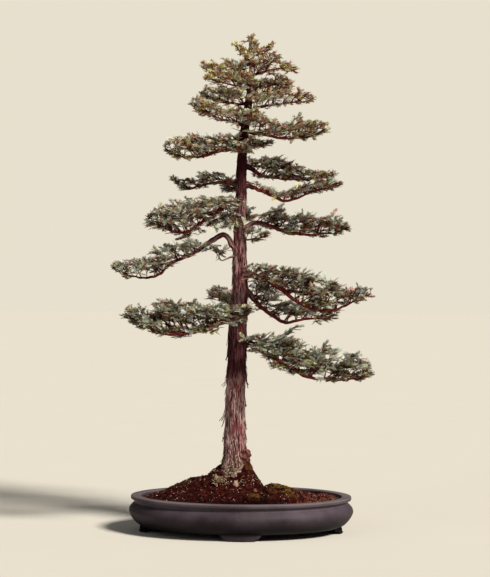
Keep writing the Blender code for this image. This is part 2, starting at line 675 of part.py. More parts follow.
def make_sprays(routes):
    finish = material("redwood_needles", (0.17, 0.22, 0.16), 0.7)
    sections = {sides: regular_section(sides) for sides in (3, 4)}
    trunk = [(Vector((x * MM, 0, z * MM)), radius * MM) for z, x, radius in TRUNK]
    wood = [([a[0], b[0]], a[1]) for a, b in zip(trunk, trunk[1:])]
    placed, leafy_lines = [], []
    for branch, line in zip(BRANCHES, routes):
        bare, leafy = split_route(line, branch[2])
        leafy_lines.append(leafy)
        if len(bare) > 9:
            wood.append((bare[4:-4], branch[1] * MM * 0.8))
        placed.append((branch[0], thinned(leafy, 12 * MM)))
    for branch, leafy in zip(BRANCHES, leafy_lines):
        make_spray(branch, leafy, placed, wood, finish, sections)
    remove(*sections.values())


def main():
    clear_scene()
    make_pot()
    make_screens()
    make_soil()
    routes = [branch_route(branch[-1]) for branch in BRANCHES]
    make_wood(routes)
    make_sprays(routes)


main()
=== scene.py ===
"""Looks of the coast redwood bonsai: bark, needles, moss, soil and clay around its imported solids.

Tables of sizes are in mm, as on the solids, and meshes are made in metres.
"""

import math
import random
from functools import lru_cache

import bpy
import numpy as np
from mathutils import Euler, Matrix, Vector


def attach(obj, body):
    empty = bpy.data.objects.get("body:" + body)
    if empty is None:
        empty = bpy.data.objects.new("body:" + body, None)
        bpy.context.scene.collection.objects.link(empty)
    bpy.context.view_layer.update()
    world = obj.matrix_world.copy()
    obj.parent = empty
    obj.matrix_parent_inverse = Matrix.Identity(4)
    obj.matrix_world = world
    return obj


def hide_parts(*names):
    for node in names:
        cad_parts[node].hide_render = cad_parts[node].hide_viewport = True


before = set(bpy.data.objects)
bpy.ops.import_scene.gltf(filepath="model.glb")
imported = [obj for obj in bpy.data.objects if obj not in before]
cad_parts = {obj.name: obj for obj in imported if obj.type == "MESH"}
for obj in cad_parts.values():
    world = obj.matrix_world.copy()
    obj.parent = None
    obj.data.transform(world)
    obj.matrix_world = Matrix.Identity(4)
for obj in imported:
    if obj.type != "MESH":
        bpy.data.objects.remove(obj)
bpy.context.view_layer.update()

MM = 0.001
UP = Vector((0.0, 0.0, 1.0))

# The camera, as worked out from the photograph's perspective.
FRAME_HEIGHT = 577  # pixels
FOCAL_LENGTH = 1546  # pixels
CAMERA_PLACE = (0.0045, -3.45, 0.5148)
CAMERA_PITCH = math.atan(11.5 / FOCAL_LENGTH)
CAMERA_ROLL = math.radians(0.5)

# The pot: a section point is (inset from the outline, height).
POT_HALF_LENGTH = 250 * MM
POT_HALF_DEPTH = 182 * MM
POT_SIDES = 160
POT_OUTSIDE = (
    (60, 12.5), (28, 12.5), (16, 20), (6, 32), (0.5, 43), (0, 48), (2, 55), (9, 62.5),
    (12, 64), (12, 71), (6, 72), (4.5, 73.5), (4.5, 79), (6, 80),
)
POT_INSIDE = ((25, 80), (26.5, 78.5), (26.5, 68), (14, 58), (11, 48), (16, 34), (38, 22), (60, 22))
FOOT_OUTLINE = ((45, 15), (43, 10), (38, 5.5), (31, 2), (24, 0))  # half of it: (along, height)
FOOT_SECTIONS = ((-0.5, 0.93), (-0.42, 1), (0.36, 1), (0.47, 0.985), (0.5, 0.95))  # (depth, size)
FOOT_DRAWN_BACK = 0.35  # how far its ends bend back, as a share of its thickness
FOOT_THICKNESS = 17 * MM
FOOT_INSET = 30 * MM
DRAIN_RADIUS = 11 * MM
DRAIN_OFFSET = 105 * MM
DRAIN_CUTTER_HEIGHT = 18 * MM
SHARP_ANGLE = math.radians(50)

# The soil.
SOIL_EDGE = 73 * MM
SOIL_TOP = 140 * MM
SOIL_CLEARANCE = 0.5
SOIL_SKIRT = 16 * MM
SOIL_FALL = (1.25, 3.6)  # how steeply it falls to the left, and how much more to the right
SOIL_RINGS = 46
SOIL_SIDES = 168
MOSS_HUMPS = (  # x, y, half axes, height, mossiness, edge (the lower, the steeper)
    (94, -34, 45, 64, 24, 1.3, 0.45), (42, -100, 42, 32, 14, 0.95, 0.5), (-128, 20, 45, 60, 6, 0.8, 0.7),
    (14, -14, 36, 34, 14, 0.35, 0.7), (-18, 4, 56, 46, 11, 0, 0.7), (-24, -36, 26, 22, -15, 0, 0.7),
)
GRAINS = 5200
TUFTS = 9000
SPRIGS = 230
SPRIG_AREA = (118 * MM, 214 * MM, 60 * MM)  # its left, its right and its back
CRUST = 600  # flakes on the foot of the trunk
CRUST_REACH = 62  # from the trunk's middle, on the soil
CRUST_HEIGHT = (126, 50)  # on the trunk: where it starts and how tall it is
LITTER = 1500
LICHEN_PLACE = (-52 * MM, -58 * MM)
LICHEN_RADIUS = 14 * MM
LICHEN_FLAKES = 180
LOOSE_PLACES = 150000  # on the soil, from which those of the crust and the lichen are taken
STONES = (  # x, y, z, half width, half height and shade: a tan one, then dark ones
    (-12, -60, 109, 5.5, 11, 0.6), (-32, -70, 98, 4, 4, 0.15), (30, -66, 97, 5, 4, 0.15),
    (-96, -62, 88, 4.5, 4, 0.15), (74, 62, 92, 6, 5, 0.15), (-60, 74, 95, 6, 5, 0.15),
)
SPRIG_SIDES = 3
SPRIG_STEPS = 4
SPRIG_RADII = (0.5 * MM, 0.3 * MM)  # at its root and its tip

# The trunk: (height, x, radius) of its axis.
ROOT_RADIUS = 34 * MM
ROOT_OVERLAP = 8 * MM  # of the soil into the trunk
ROOT_FLARE = (190, 60, 0.1)  # its upper end, how tall it is and how far it stands out
TRUNK_SIDES = 80
TRUNK = (
    (120, -14, 36), (142, -14, 33.5), (151, -14, 30), (166, -14, 26), (195, -15, 23.5), (229, -15, 22.6),
    (265, -15, 21), (303, -15, 20.2), (345, -13, 20.6), (395, -12, 19.6), (445, -11, 20),
    (500, -9, 18), (544, -7, 16.5), (604, -8, 14.5), (655, -8, 13), (705, -8, 12),
    (762, -6, 11), (809, -5, 10.6), (872, -2, 10), (939, 6, 8.6), (988, 12, 6.5),
    (1010, 13.5, 4.2), (1045, 12.5, 3), (1067, 11.3, 2.4),
)
TRUNK_HEIGHTS, TRUNK_CENTRES, TRUNK_RADII = np.array(TRUNK).T
FLUTES = (0.05, 0.035)
BURLS = ((11, -12, 175, 9), (4, -19, 167, 8), (12, -10, 160, 8.5), (16, -6, 170, 6), (3, -18, 180, 5.5))
TRUNK_STEP = 3  # between the rings of the trunk
LIMB_STEP = 3  # and between those of a limb
LIMB_SIDES = 14
STRIPS = 560  # of bark, that stand a little off the trunk
STRIP_HEIGHT = (172, 680)  # where they start and how far up they go
LOOSE_STRIPS = (  # angle in degrees, height of the upper end, length, how far the lower end hangs off
    (182, 340, 17, 12), (176, 334, 14, 8), (184, 274, 30, 14), (176, 270, 26, 9), (190, 262, 30, 8),
    (2, 345, 20, 8), (-8, 356, 38, 6), (-3, 300, 22, 3), (200, 410, 30, 5), (-12, 250, 24, 4),
    (172, 218, 20, 4),
)
STRIP_LIFTS = (0.2, 0.5, 0.9, 1.5, 2.4, 3.6)  # how far the lower ends of the others hang off

# Each branch: name, radius at the trunk, where its leaves begin, half width of its pad, heights of the
# pad's crown above the wood at even steps from its first leaves to its tip, reach below, and its route.
BRANCHES = (
    ("right_low", 8.5, 0.12, 72, (22, 36, 86, 86, 82, 74, 32), 6, (
        (-11, 0, 420), (14, -8, 417), (40, -20, 405), (80, -40, 380), (118, -58, 361), (145, -68, 348),
        (176, -75, 344), (205, -82, 342), (235, -90, 345), (262, -95, 350), (280, -98, 358))),
    ("left_low", 8, 0.22, 66, (37, 62, 82, 84, 80, 58, 34, 10), 12, (
        (-11, 0, 478), (-22, -28, 476), (-46, -60, 466), (-80, -82, 453), (-112, -92, 443),
        (-140, -97, 440), (-170, -98, 443), (-202, -98, 453), (-232, -95, 467), (-256, -92, 485))),
    ("front_low", 3.2, 0.35, 22, (14, 16, 12), 8, (
        (-11, 0, 484), (-6, -38, 485), (4, -58, 489), (16, -70, 497))),
    ("back_low", 5.5, 0.25, 38, (18, 26, 26, 16), 8, (
        (-8, 5, 512), (-28, 40, 508), (-45, 80, 511), (-55, 120, 519), (-60, 164, 530))),
    ("right_mid_low", 7, 0.16, 52, (50, 62, 60, 50, 46, 38, 22), 20, (
        (-8, 0, 540), (12, 8, 532), (30, 18, 512), (48, 26, 494), (75, 36, 474), (100, 42, 464),
        (132, 46, 471), (172, 50, 474), (212, 54, 482))),
    ("right_mid_high", 7.5, 0.12, 62, (25, 38, 66, 86, 80, 40, 12), 14, (
        (-7, 0, 575), (16, -14, 572), (42, -28, 563), (70, -42, 549), (95, -54, 532), (118, -62, 513),
        (140, -68, 500), (165, -72, 493), (197, -76, 494), (218, -79, 501), (240, -82, 513),
        (262, -85, 522), (278, -87, 531))),
    ("left_mid", 6.8, 0.38, 38, (12, 34, 44, 50, 60, 54, 34, 10), 10, (
        (-9, 0, 618), (-24, -3, 632), (-32, -6, 650), (-45, -9, 659), (-58, -12, 654), (-75, -15, 642),
        (-93, -18, 629), (-113, -21, 617), (-133, -24, 607), (-153, -27, 598), (-166, -29, 588),
        (-178, -30, 575), (-195, -32, 565), (-215, -34, 561), (-238, -36, 563), (-263, -38, 571),
        (-287, -40, 585))),
    ("left_mid_twig", 2.6, 0.62, 20, (8, 10, 6), 6, (
        (-8, 0, 612), (-24, -6, 611), (-36, -10, 606), (-48, -12, 602), (-54, -13, 609),
        (-57, -14, 621), (-70, -16, 632))),
    ("left_high", 6.5, 0.14, 58, (22, 34, 60, 83, 76, 50, 12), 32, (
        (-8, 0, 722), (-30, -12, 722), (-50, -24, 716), (-70, -33, 704), (-86, -40, 691),
        (-103, -46, 677), (-118, -50, 664), (-135, -52, 661), (-158, -54, 667), (-184, -56, 677),
        (-214, -60, 690))),
    ("right_high", 6.5, 0.24, 52, (26, 38, 46, 52, 52, 40, 16), 10, (
        (-8, 0, 676), (8, 4, 677), (20, 10, 685), (34, 15, 688), (61, 24, 681), (90, 33, 671),
        (121, 40, 664), (155, 46, 664), (183, 52, 667), (212, 57, 672), (238, 61, 681))),
    ("right_high_twig", 2.6, 0.4, 13, (8, 12, 8), 8, (
        (-7, 0, 650), (10, -12, 649), (33, -18, 650), (58, -22, 660))),
    ("right_upper", 5.4, 0.12, 38, (18, 12, 14, 24, 34, 28, 20, 8), 8, (
        (-6, 0, 769), (10, -6, 769), (24, -12, 765), (38, -18, 759), (63, -28, 747), (82, -34, 738),
        (98, -38, 735), (123, -44, 741), (144, -48, 752), (174, -53, 760), (215, -60, 771))),
    ("right_upper_back", 5.2, 0.12, 44, (30, 48, 54, 44, 24, 14, 8), 8, (
        (-5, 0, 818), (12, 5, 811), (36, 14, 797), (55, 20, 792), (84, 28, 789), (114, 35, 787),
        (140, 40, 788), (170, 44, 793), (205, 48, 801))),
    ("left_upper", 5.2, 0.16, 36, (16, 24, 27, 34, 28, 16, 8), 8, (
        (-6, 0, 772), (-20, 4, 774), (-34, 8, 779), (-56, 14, 777), (-83, 20, 774), (-107, 25, 768),
        (-126, 28, 763), (-143, 31, 770), (-162, 33, 787))),
    ("left_upper_front", 5.4, 0.14, 46, (32, 42, 53, 58, 52, 42, 16), 10, (
        (-3, 0, 857), (-20, -5, 853), (-45, -14, 847), (-75, -24, 838), (-107, -33, 830),
        (-133, -38, 829), (-154, -42, 836), (-175, -46, 847))),
    ("right_crown_low", 5, 0.2, 46, (40, 50, 46, 48, 46, 32, 10), 12, (
        (-2, 0, 889), (-3, -15, 890), (20, -26, 885), (47, -34, 879), (74, -40, 874), (94, -44, 872),
        (114, -47, 873), (141, -50, 876), (162, -53, 883), (187, -56, 894))),
    ("right_crown_twig", 2.6, 0.3, 17, (8, 12, 8), 8, (
        (-1, 0, 862), (15, 8, 861), (38, 13, 863), (66, 17, 868))),
    ("left_crown_low", 4.4, 0.16, 40, (28, 32, 34, 28, 12), 18, (
        (3, 0, 905), (-12, -4, 909), (-40, -12, 915), (-75, -20, 925), (-97, -24, 938), (-117, -27, 953))),
    ("right_crown_mid", 3.8, 0.5, 30, (34, 30, 22, 12), 14, (
        (7, 0, 938), (22, -4, 941), (48, -8, 947), (70, -12, 951), (92, -15, 953), (122, -18, 958),
        (155, -22, 965))),
    ("left_crown_mid", 3.4, 0.18, 34, (34, 38, 32, 16), 16, (
        (8, 0, 955), (-10, 6, 954), (-40, 14, 958), (-70, 20, 965), (-98, 24, 976))),
    ("right_crown_high", 3.6, 0.2, 36, (32, 32, 30, 28, 12), 14, (
        (11, 0, 972), (26, 8, 976), (50, 16, 983), (76, 22, 990), (106, 26, 1000))),
    ("left_crown_high", 3.4, 0.2, 34, (22, 28, 26, 22, 12), 26, (
        (12, 0, 984), (-5, -13, 987), (-30, -25, 991), (-56, -33, 996), (-86, -39, 1004))),
    ("left_top_low", 3, 0.2, 34, (28, 34, 32, 28, 14), 16, (
        (13, 0, 1010), (0, 5, 1017), (-22, 10, 1020), (-50, 13, 1023), (-75, 15, 1027), (-97, 16, 1036))),
    ("right_top_low", 3, 0.2, 34, (40, 46, 36, 22, 12), 18, (
        (14, 0, 1014), (30, -6, 1020), (55, -12, 1027), (80, -16, 1030), (98, -18, 1028), (116, -19, 1020))),
    ("left_top", 2, 0.3, 16, (14, 12, 9), 10, (
        (12, 0, 1050), (0, -5, 1062), (-12, -8, 1071), (-27, -10, 1084))),
    ("right_top", 2, 0.3, 16, (14, 13, 10), 9, (
        (12, 0, 1052), (26, 4, 1062), (43, 6, 1072), (64, 7, 1087))),
    ("back_mid", 5.4, 0.2, 26, (24, 28, 28, 16), 8, (
        (-8, 4, 702), (-6, 40, 704), (-1, 80, 701), (2, 118, 702), (5, 155, 712))),
    ("back_upper", 4.6, 0.2, 38, (18, 24, 22, 12), 8, (
        (-5, 4, 766), (-12, 34, 769), (-22, 68, 767), (-30, 100, 768), (-37, 128, 776))),
    ("back_crown", 4, 0.2, 38, (18, 24, 22, 12), 8, (
        (-2, 3, 866), (4, 32, 868), (9, 64, 866), (12, 92, 868), (15, 116, 875))),
    ("front_crown", 3, 0.3, 26, (18, 22, 14), 14, (
        (-3, 0, 844), (-6, -26, 846), (-9, -48, 845), (-12, -68, 842))),
    ("front_crown_high", 3.2, 0.25, 32, (22, 28, 16), 18, (
        (4, 0, 910), (10, -26, 913), (14, -50, 913), (16, -74, 913))),
    ("back_crown_high", 3.6, 0.22, 32, (16, 20, 18, 10), 8, (
        (6, 3, 926), (2, 30, 931), (-4, 62, 932), (-9, 98, 940))),
    ("front_top", 2.4, 0.3, 20, (18, 20, 12), 7, (
        (13, 0, 1000), (6, -19, 1003), (-2, -37, 1005), (-7, -53, 1009))),
    ("back_top", 2.8, 0.22, 26, (14, 18, 16, 10), 8, (
        (12, 2, 990), (18, 28, 996), (22, 54, 999), (25, 82, 1006))),
    ("back_top_high", 2, 0.3, 16, (10, 12, 6), 6, (
        (13, 1, 1036), (9, 20, 1042), (5, 46, 1051))),
    ("front_top_high", 2, 0.3, 20, (16, 18, 10), 12, (
        (13, 0, 1038), (10, -16, 1043), (5, -36, 1049))),
    ("apex", 2.2, 0.3, 22, (20, 18, 12), 14, (
        (11.5, 0, 1056), (11, 0, 1070), (10, 0, 1083), (8, 0, 1099))),
)

# Ends, in mm, of some twigs that the photograph shows apart from the others.
HAND_TWIGS = {
    "left_high": ((-50, -24, 690), (-36, -34, 694), (-32, 14, 692), (-58, -30, 677), (-40, -36, 677),
                  (-28, -30, 673), (-72, -34, 678), (-22, -34, 682)),
    "left_mid": ((-88, -26, 632), (-98, -8, 636), (-112, -28, 643), (-124, -18, 638), (-162, -24, 629),
                 (-176, -38, 624), (-192, -26, 619)),
    "left_mid_twig": ((-44, -16, 626), (-66, -6, 636), (-76, -20, 626)),
    "left_crown_mid": ((-16, -14, 978), (-30, 20, 976), (-44, -4, 974)),
    "right_low": ((122, -44, 457), (108, -52, 450), (66, -44, 438), (50, -30, 434)),
    "right_mid_low": ((46, 0, 504), (196, 44, 500), (208, 50, 492)),
    "right_mid_high": ((138, -62, 574), (150, -78, 570), (162, -56, 570), (27, -26, 552), (42, -34, 543),
                       (60, -44, 532)),
    "right_high": ((44, -8, 706), (60, 0, 713), (82, 12, 719)),
    "right_high_twig": ((8, -20, 667), (24, -24, 669), (38, -24, 667)),
    "right_crown_mid": ((28, -16, 974), (42, -20, 968), (34, 10, 970), (58, -20, 974), (24, -20, 960)),
    "apex": ((-3, -4, 1092), (19, 4, 1090), (8, -8, 1098)),
}
PLAIN_TWIGS = ("right_low",)  # whose listed twigs have no forks

# The leafy twigs.
NEEDLE_LENGTH = 6.8 * MM
NEEDLE_HALF_WIDTH = 0.9 * MM
NEEDLE_KEEL = 0.3 * MM
NEEDLE_SPACING = 1.25 * MM  # along a shoot, needles to the left and right in turn
NEEDLE_FACES = np.array([(0, 1, 2), (0, 2, 3), (1, 0, 3), (2, 1, 3)])  # and those of a flake
LINE_STEP = 4 * MM  # between the points of a branch's line
TWIG_SPACING = 7 * MM  # along a branch
FORK_SPACING = 12 * MM  # along a twig
SHOOT_SPACING = 5 * MM  # along a twig
SHOOT_LENGTH = 18 * MM
SHOOT_RADII = (0.55 * MM, 0.3 * MM)  # at its root and its tip
TWIG_TIP_RADIUS = 0.45 * MM
TIP_RADIUS = 0.6 * MM
PAD_BEYOND_TIP = 6 * MM
DENSE = ("left_low", "right_low", "left_high", "right_high", "right_upper", "right_upper_back",
         "left_upper_front", "apex")  # these have more twigs, as the crown and the top have
DENSE_SHARE = 1.3
LIFTED = ("right_mid_low", "right_mid_high", "left_mid", "right_upper")  # their twigs are more upright
LIFTED_SHARE = 0.72
BARE_INSIDE = ("right_mid_low", "left_mid", "left_mid_twig", "right_high", "right_high_twig",
               "left_upper", "right_upper")  # these have no twigs before their first leaves
TIP_TWIGS = 5
TWIG_SIDES = 8  # of a branch among its leaves
# Paleness of each branch's needles: partly their own tone and partly painted light and shade, paler for pads
# that other pads shade, as on the left of the crown, and darker for some lit ones.
BRANCH_PALENESS = {
    "left_low": 0.08, "left_high": 0.3, "left_mid": 0.06, "left_upper_front": -0.18, "right_high": -0.06,
    "right_mid_low": -0.06, "right_mid_high": -0.04, "right_upper_back": -0.08, "left_crown_low": 0.06,
    "right_crown_low": -0.14, "left_crown_mid": 0.4, "left_crown_high": 0.34, "left_top_low": 0.24,
    "left_top": 0.14,
}
ROLLS = (-70, 20, -32, 60, -6, 96, 38, -18, -102, 8, -52, 76, 26, -86, 0)  # of twigs, in degrees from upright
LATTICE_ROWS = 499
SEED = 23

# The light: name, where it comes from, softness in degrees, strength and colour.
LIGHTS = (
    ("key", (0.6, -0.55, 0.66), 14, 4.8, (1.0, 0.96, 0.88)),
    ("fill", (-0.7, -0.6, 0.4), 40, 0.28, (0.9, 0.95, 1.0)),
)
AMBIENT_STRENGTH = 0.14


class Form:
    """Points and faces of many small parts, gathered for one mesh, with a note of three numbers a point."""

    def __init__(self):
        self.points, self.faces, self.notes, self.total = [], [], [], 0

    def add(self, points, *faces, note=(0.0, 0.0, 0.0)):
        points = np.asarray(points, float).reshape(-1, 3)
        self.points.append(points)
        self.notes.append(np.broadcast_to(np.asarray(note, float), points.shape))
        self.faces += [np.asarray(some, int) + self.total for some in faces]
        self.total += len(points)

    def add_rings(self, rings, note=(0.0, 0.0, 0.0)):
        """A closed surface, or several, through rings (..., rings, sides, 3)."""
        points, *faces = skin(rings)
        self.add(points, *faces, note=note)

    def make(self, name, finish, slot, *nodes, smooth=True):
        """The mesh object, riding on the tree's one body, in place of the given nodes."""
        sizes = np.concatenate([np.full(len(some), some.shape[1]) for some in self.faces])
        mesh = bpy.data.meshes.new(name)
        mesh.vertices.add(self.total)
        mesh.vertices.foreach_set("co", np.concatenate(self.points).astype(np.float32).ravel())
        mesh.loops.add(int(sizes.sum()))
        mesh.loops.foreach_set("vertex_index", np.concatenate([some.ravel() for some in self.faces]))
        mesh.polygons.add(len(sizes))
        mesh.polygons.foreach_set("loop_start", np.concatenate([[0], np.cumsum(sizes)[:-1]]))
        mesh.update(calc_edges=True)
        note = mesh.attributes.new("note", "FLOAT_VECTOR", "POINT")
        note.data.foreach_set("vector", np.concatenate(self.notes).astype(np.float32).ravel())
        mesh.polygons.foreach_set("use_smooth", np.full(len(sizes), smooth))
        mesh.materials.append(finish)
        piece = bpy.data.objects.new(name, mesh)
        bpy.context.scene.collection.objects.link(piece)
        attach(piece, "root")
        if nodes:
            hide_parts(*nodes)
        return piece


def skin(rings):
    """Points and faces of closed surfaces through rings (..., rings, sides, 3), flat at both ends."""
    rings = np.asarray(rings, float)
    count, sides = rings.shape[-3:-1]
    k = np.arange(sides)
    low = (np.arange(count - 1)[:, None] * sides + k).ravel()
    side = (np.arange(count - 1)[:, None] * sides + np.roll(k, -1)).ravel()
    walls = np.stack([low, side, side + sides, low + sides], axis=1)
    ends = np.stack([k[::-1], k + (count - 1) * sides])
    starts = np.arange(0, rings.size // 3, count * sides)[:, None, None]
    return rings.reshape(-1, 3), (walls + starts).reshape(-1, 4), (ends + starts).reshape(-1, sides)


def unit(vectors):
    return vectors / np.maximum(np.linalg.norm(vectors, axis=-1, keepdims=True), 1e-9)


def turns(count):
    """Angles at even steps round a circle."""
    return np.arange(count) / count * 2 * math.pi


def clamp(value, low=0.0, high=1.0):
    return max(low, min(high, value))


def name_seed(name):
    return sum(map(ord, name))


@lru_cache(None)
def lattice(wrap, seed):
    return np.random.default_rng(seed).uniform(-1, 1, (wrap, LATTICE_ROWS))


def wander(u, v, wrap, seed):
    """Smooth random heights from -1 to 1, one to each unit cell, repeating every `wrap` cells along u."""
    heights = lattice(wrap, seed)
    low_u, low_v = np.floor(u).astype(int), np.floor(v).astype(int)
    share_u, share_v = u - low_u, v - low_v
    share_u = share_u * share_u * (3 - 2 * share_u)
    share_v = share_v * share_v * (3 - 2 * share_v)
    left, right = low_u % wrap, (low_u + 1) % wrap
    near, far = [heights[left, row] * (1 - share_u) + heights[right, row] * share_u
                 for row in (low_v % LATTICE_ROWS, (low_v + 1) % LATTICE_ROWS)]
    return near * (1 - share_v) + far * share_v


def resample(line, spacing):
    lengths = np.concatenate([[0.0], np.cumsum([(b - a).length for a, b in zip(line, line[1:])])])
    count = max(2, round(lengths[-1] / spacing))
    found, k = [], 0
    for at in np.linspace(0, lengths[-1], count + 1):
        while k < len(lengths) - 2 and lengths[k + 1] < at:
            k += 1
        found.append(line[k].lerp(line[k + 1], (at - lengths[k]) / max(lengths[k + 1] - lengths[k], 1e-9)))
    return found


def smooth_route(points, spacing):
    """Points about `spacing` apart on a smooth curve (Catmull-Rom) through the given points."""
    dense = []
    ends = [points[0] * 2 - points[1], *points, points[-1] * 2 - points[-2]]
    for a, b, c, d in zip(ends, ends[1:], ends[2:], ends[3:]):
        for k in range(12):
            t = k / 12
            dense.append(0.5 * (2 * b + (c - a) * t + (2 * a - 5 * b + 4 * c - d) * t * t
                                + (3 * b - a - 3 * c + d) * t ** 3))
    dense.append(points[-1].copy())
    return resample(dense, spacing)


def branch_radius(root_radius, share):
    """A branch tapers from its root to a quarter of its thickness, fastest near the trunk."""
    return root_radius * MM * (0.25 + 0.75 * (1 - share) ** 1.3)


class Finish:
    """A Principled material, and short ways to add nodes to it."""

    def __init__(self, name, roughness, gloss):
        self.material = bpy.data.materials.new(name)
        self.material.use_nodes = True
        self.place = self.node("ShaderNodeTexCoord").outputs["Object"]
        self.surface("Roughness", roughness)
        self.surface("Specular IOR Level", gloss)

    def fill(self, socket, value):
        """Gives a socket its number or colour, or links the socket that the value comes from."""
        if isinstance(value, bpy.types.NodeSocket):
            self.material.node_tree.links.new(value, socket)
        else:
            socket.default_value = value

    def surface(self, name, value):
        self.fill(self.material.node_tree.nodes["Principled BSDF"].inputs[name], value)

    def node(self, kind, operation=None, *values, **named):
        """A new node, its first sockets filled in order and others by their names."""
        node = self.material.node_tree.nodes.new(kind)
        if operation:
            node.operation = operation
        for key, value in (*enumerate(values), *named.items()):
            self.fill(node.inputs[key], value)
        return node

    def parts(self, vector):
        return self.node("ShaderNodeSeparateXYZ", Vector=vector).outputs

    def note(self):
        """The three numbers that each point of the mesh carries, together and one by one."""
        node = self.node("ShaderNodeAttribute")
        node.attribute_name = "note"
        return node.outputs["Vector"], *self.parts(node.outputs["Vector"])

    def stretched(self, vector, scale):
        return self.node("ShaderNodeVectorMath", "MULTIPLY", vector, scale).outputs[0]

    def length(self, vector):
        return self.node("ShaderNodeVectorMath", "LENGTH", vector).outputs["Value"]

    def noise(self, vector, scale, detail=3.0, roughness=0.6):
        node = self.node("ShaderNodeTexNoise", Vector=vector, Scale=scale, Detail=detail,
                         Roughness=roughness)
        return node.outputs["Fac"]

    def spread(self, value, low, high, first=0.0, last=1.0):
        """The value, moved from low..high to first..last and kept within them."""
        return self.node("ShaderNodeMapRange", None, value, low, high, first, last).outputs[0]

    def plus(self, a, b):
        return self.node("ShaderNodeMath", "ADD", a, b).outputs[0]

    def less(self, a, b):
        return self.node("ShaderNodeMath", "SUBTRACT", a, b).outputs[0]

    def times(self, a, b):
        return self.node("ShaderNodeMath", "MULTIPLY", a, b).outputs[0]

    def most(self, a, b):
        return self.node("ShaderNodeMath", "MAXIMUM", a, b).outputs[0]

    def mix(self, share, a, b):
        node = self.node("ShaderNodeMix", None, share)
        node.data_type = "RGBA"
        for name, value in (("A_Color", a), ("B_Color", b)):
            socket = next(s for s in node.inputs if s.identifier == name)
            self.fill(socket, (*value, 1.0) if isinstance(value, tuple) else value)
        return next(s for s in node.outputs if s.identifier == "Result_Color")

    def colour(self, value):
        self.surface("Base Color", value)

    def bump(self, height, depth, strength):
        node = self.node("ShaderNodeBump", Height=height, Distance=depth, Strength=strength)
        self.surface("Normal", node.outputs[0])


def rgb(*shown):
    """A colour as a picture shows it, 0 to 255, in the linear values that a shader takes."""
    return tuple(((c / 255 + 0.055) / 1.055) ** 2.4 if c > 10 else c / 255 / 12.92 for c in shown)


def clay_finish():
    """Dark unglazed clay, with painted shade near its foot and at its left end, the front foot's face kept
    out of part of it as painted light, and rubbed paler along the rim.
    """
    finish = Finish("unglazed_clay", 0.5, 0.08)
    along, depth, height = finish.parts(finish.place)
    cloud = finish.noise(finish.place, 9, 4)
    speck = finish.noise(finish.place, 900, 2)
    body = finish.mix(finish.spread(cloud, 0.35, 0.68), rgb(52, 41, 49), rgb(82, 72, 80))
    dusted = finish.mix(finish.spread(speck, 0.55, 0.75, 0, 0.35), body, rgb(130, 122, 122))
    # Painted shade: darker towards the foot of the bowl, its upper edge made uneven.
    uneven_height = finish.plus(height, finish.spread(cloud, 0.3, 0.7, -0.003, 0.003))
    painted_shade_band = finish.spread(uneven_height, 0.024, 0.061, 0.97, 0)
    # Painted light: the face of the front foot is kept out of part of that shade.
    painted_light_front_foot = finish.times(finish.spread(depth, -0.12, -0.14), finish.spread(height, 0.016, 0.011))
    # Painted shade: darker at the left end, below the rim.
    painted_shade_left_end = finish.times(finish.spread(along, -0.1, -0.24, 0, 0.6), finish.spread(height, 0.072, 0.05))
    # dark is the share of painted shade, and rgb(9, 4, 7) its colour.
    dark = finish.less(finish.most(painted_shade_band, painted_shade_left_end), finish.times(painted_light_front_foot, 0.6))
    body = finish.mix(dark, dusted, rgb(9, 4, 7))
    rubbed = finish.times(finish.spread(height, 0.077, 0.0795), finish.spread(cloud, 0.3, 0.6, 0.2, 0.7))
    finish.colour(finish.mix(rubbed, body, rgb(122, 112, 112)))
    finish.surface("Roughness", finish.spread(cloud, 0.3, 0.7, 0.42, 0.6))
    drawn_marks = finish.noise(finish.stretched(finish.place, (0.15, 0.15, 1.0)), 300, 2)
    finish.bump(finish.plus(speck, drawn_marks), 0.0004, 0.5)
    return finish.material


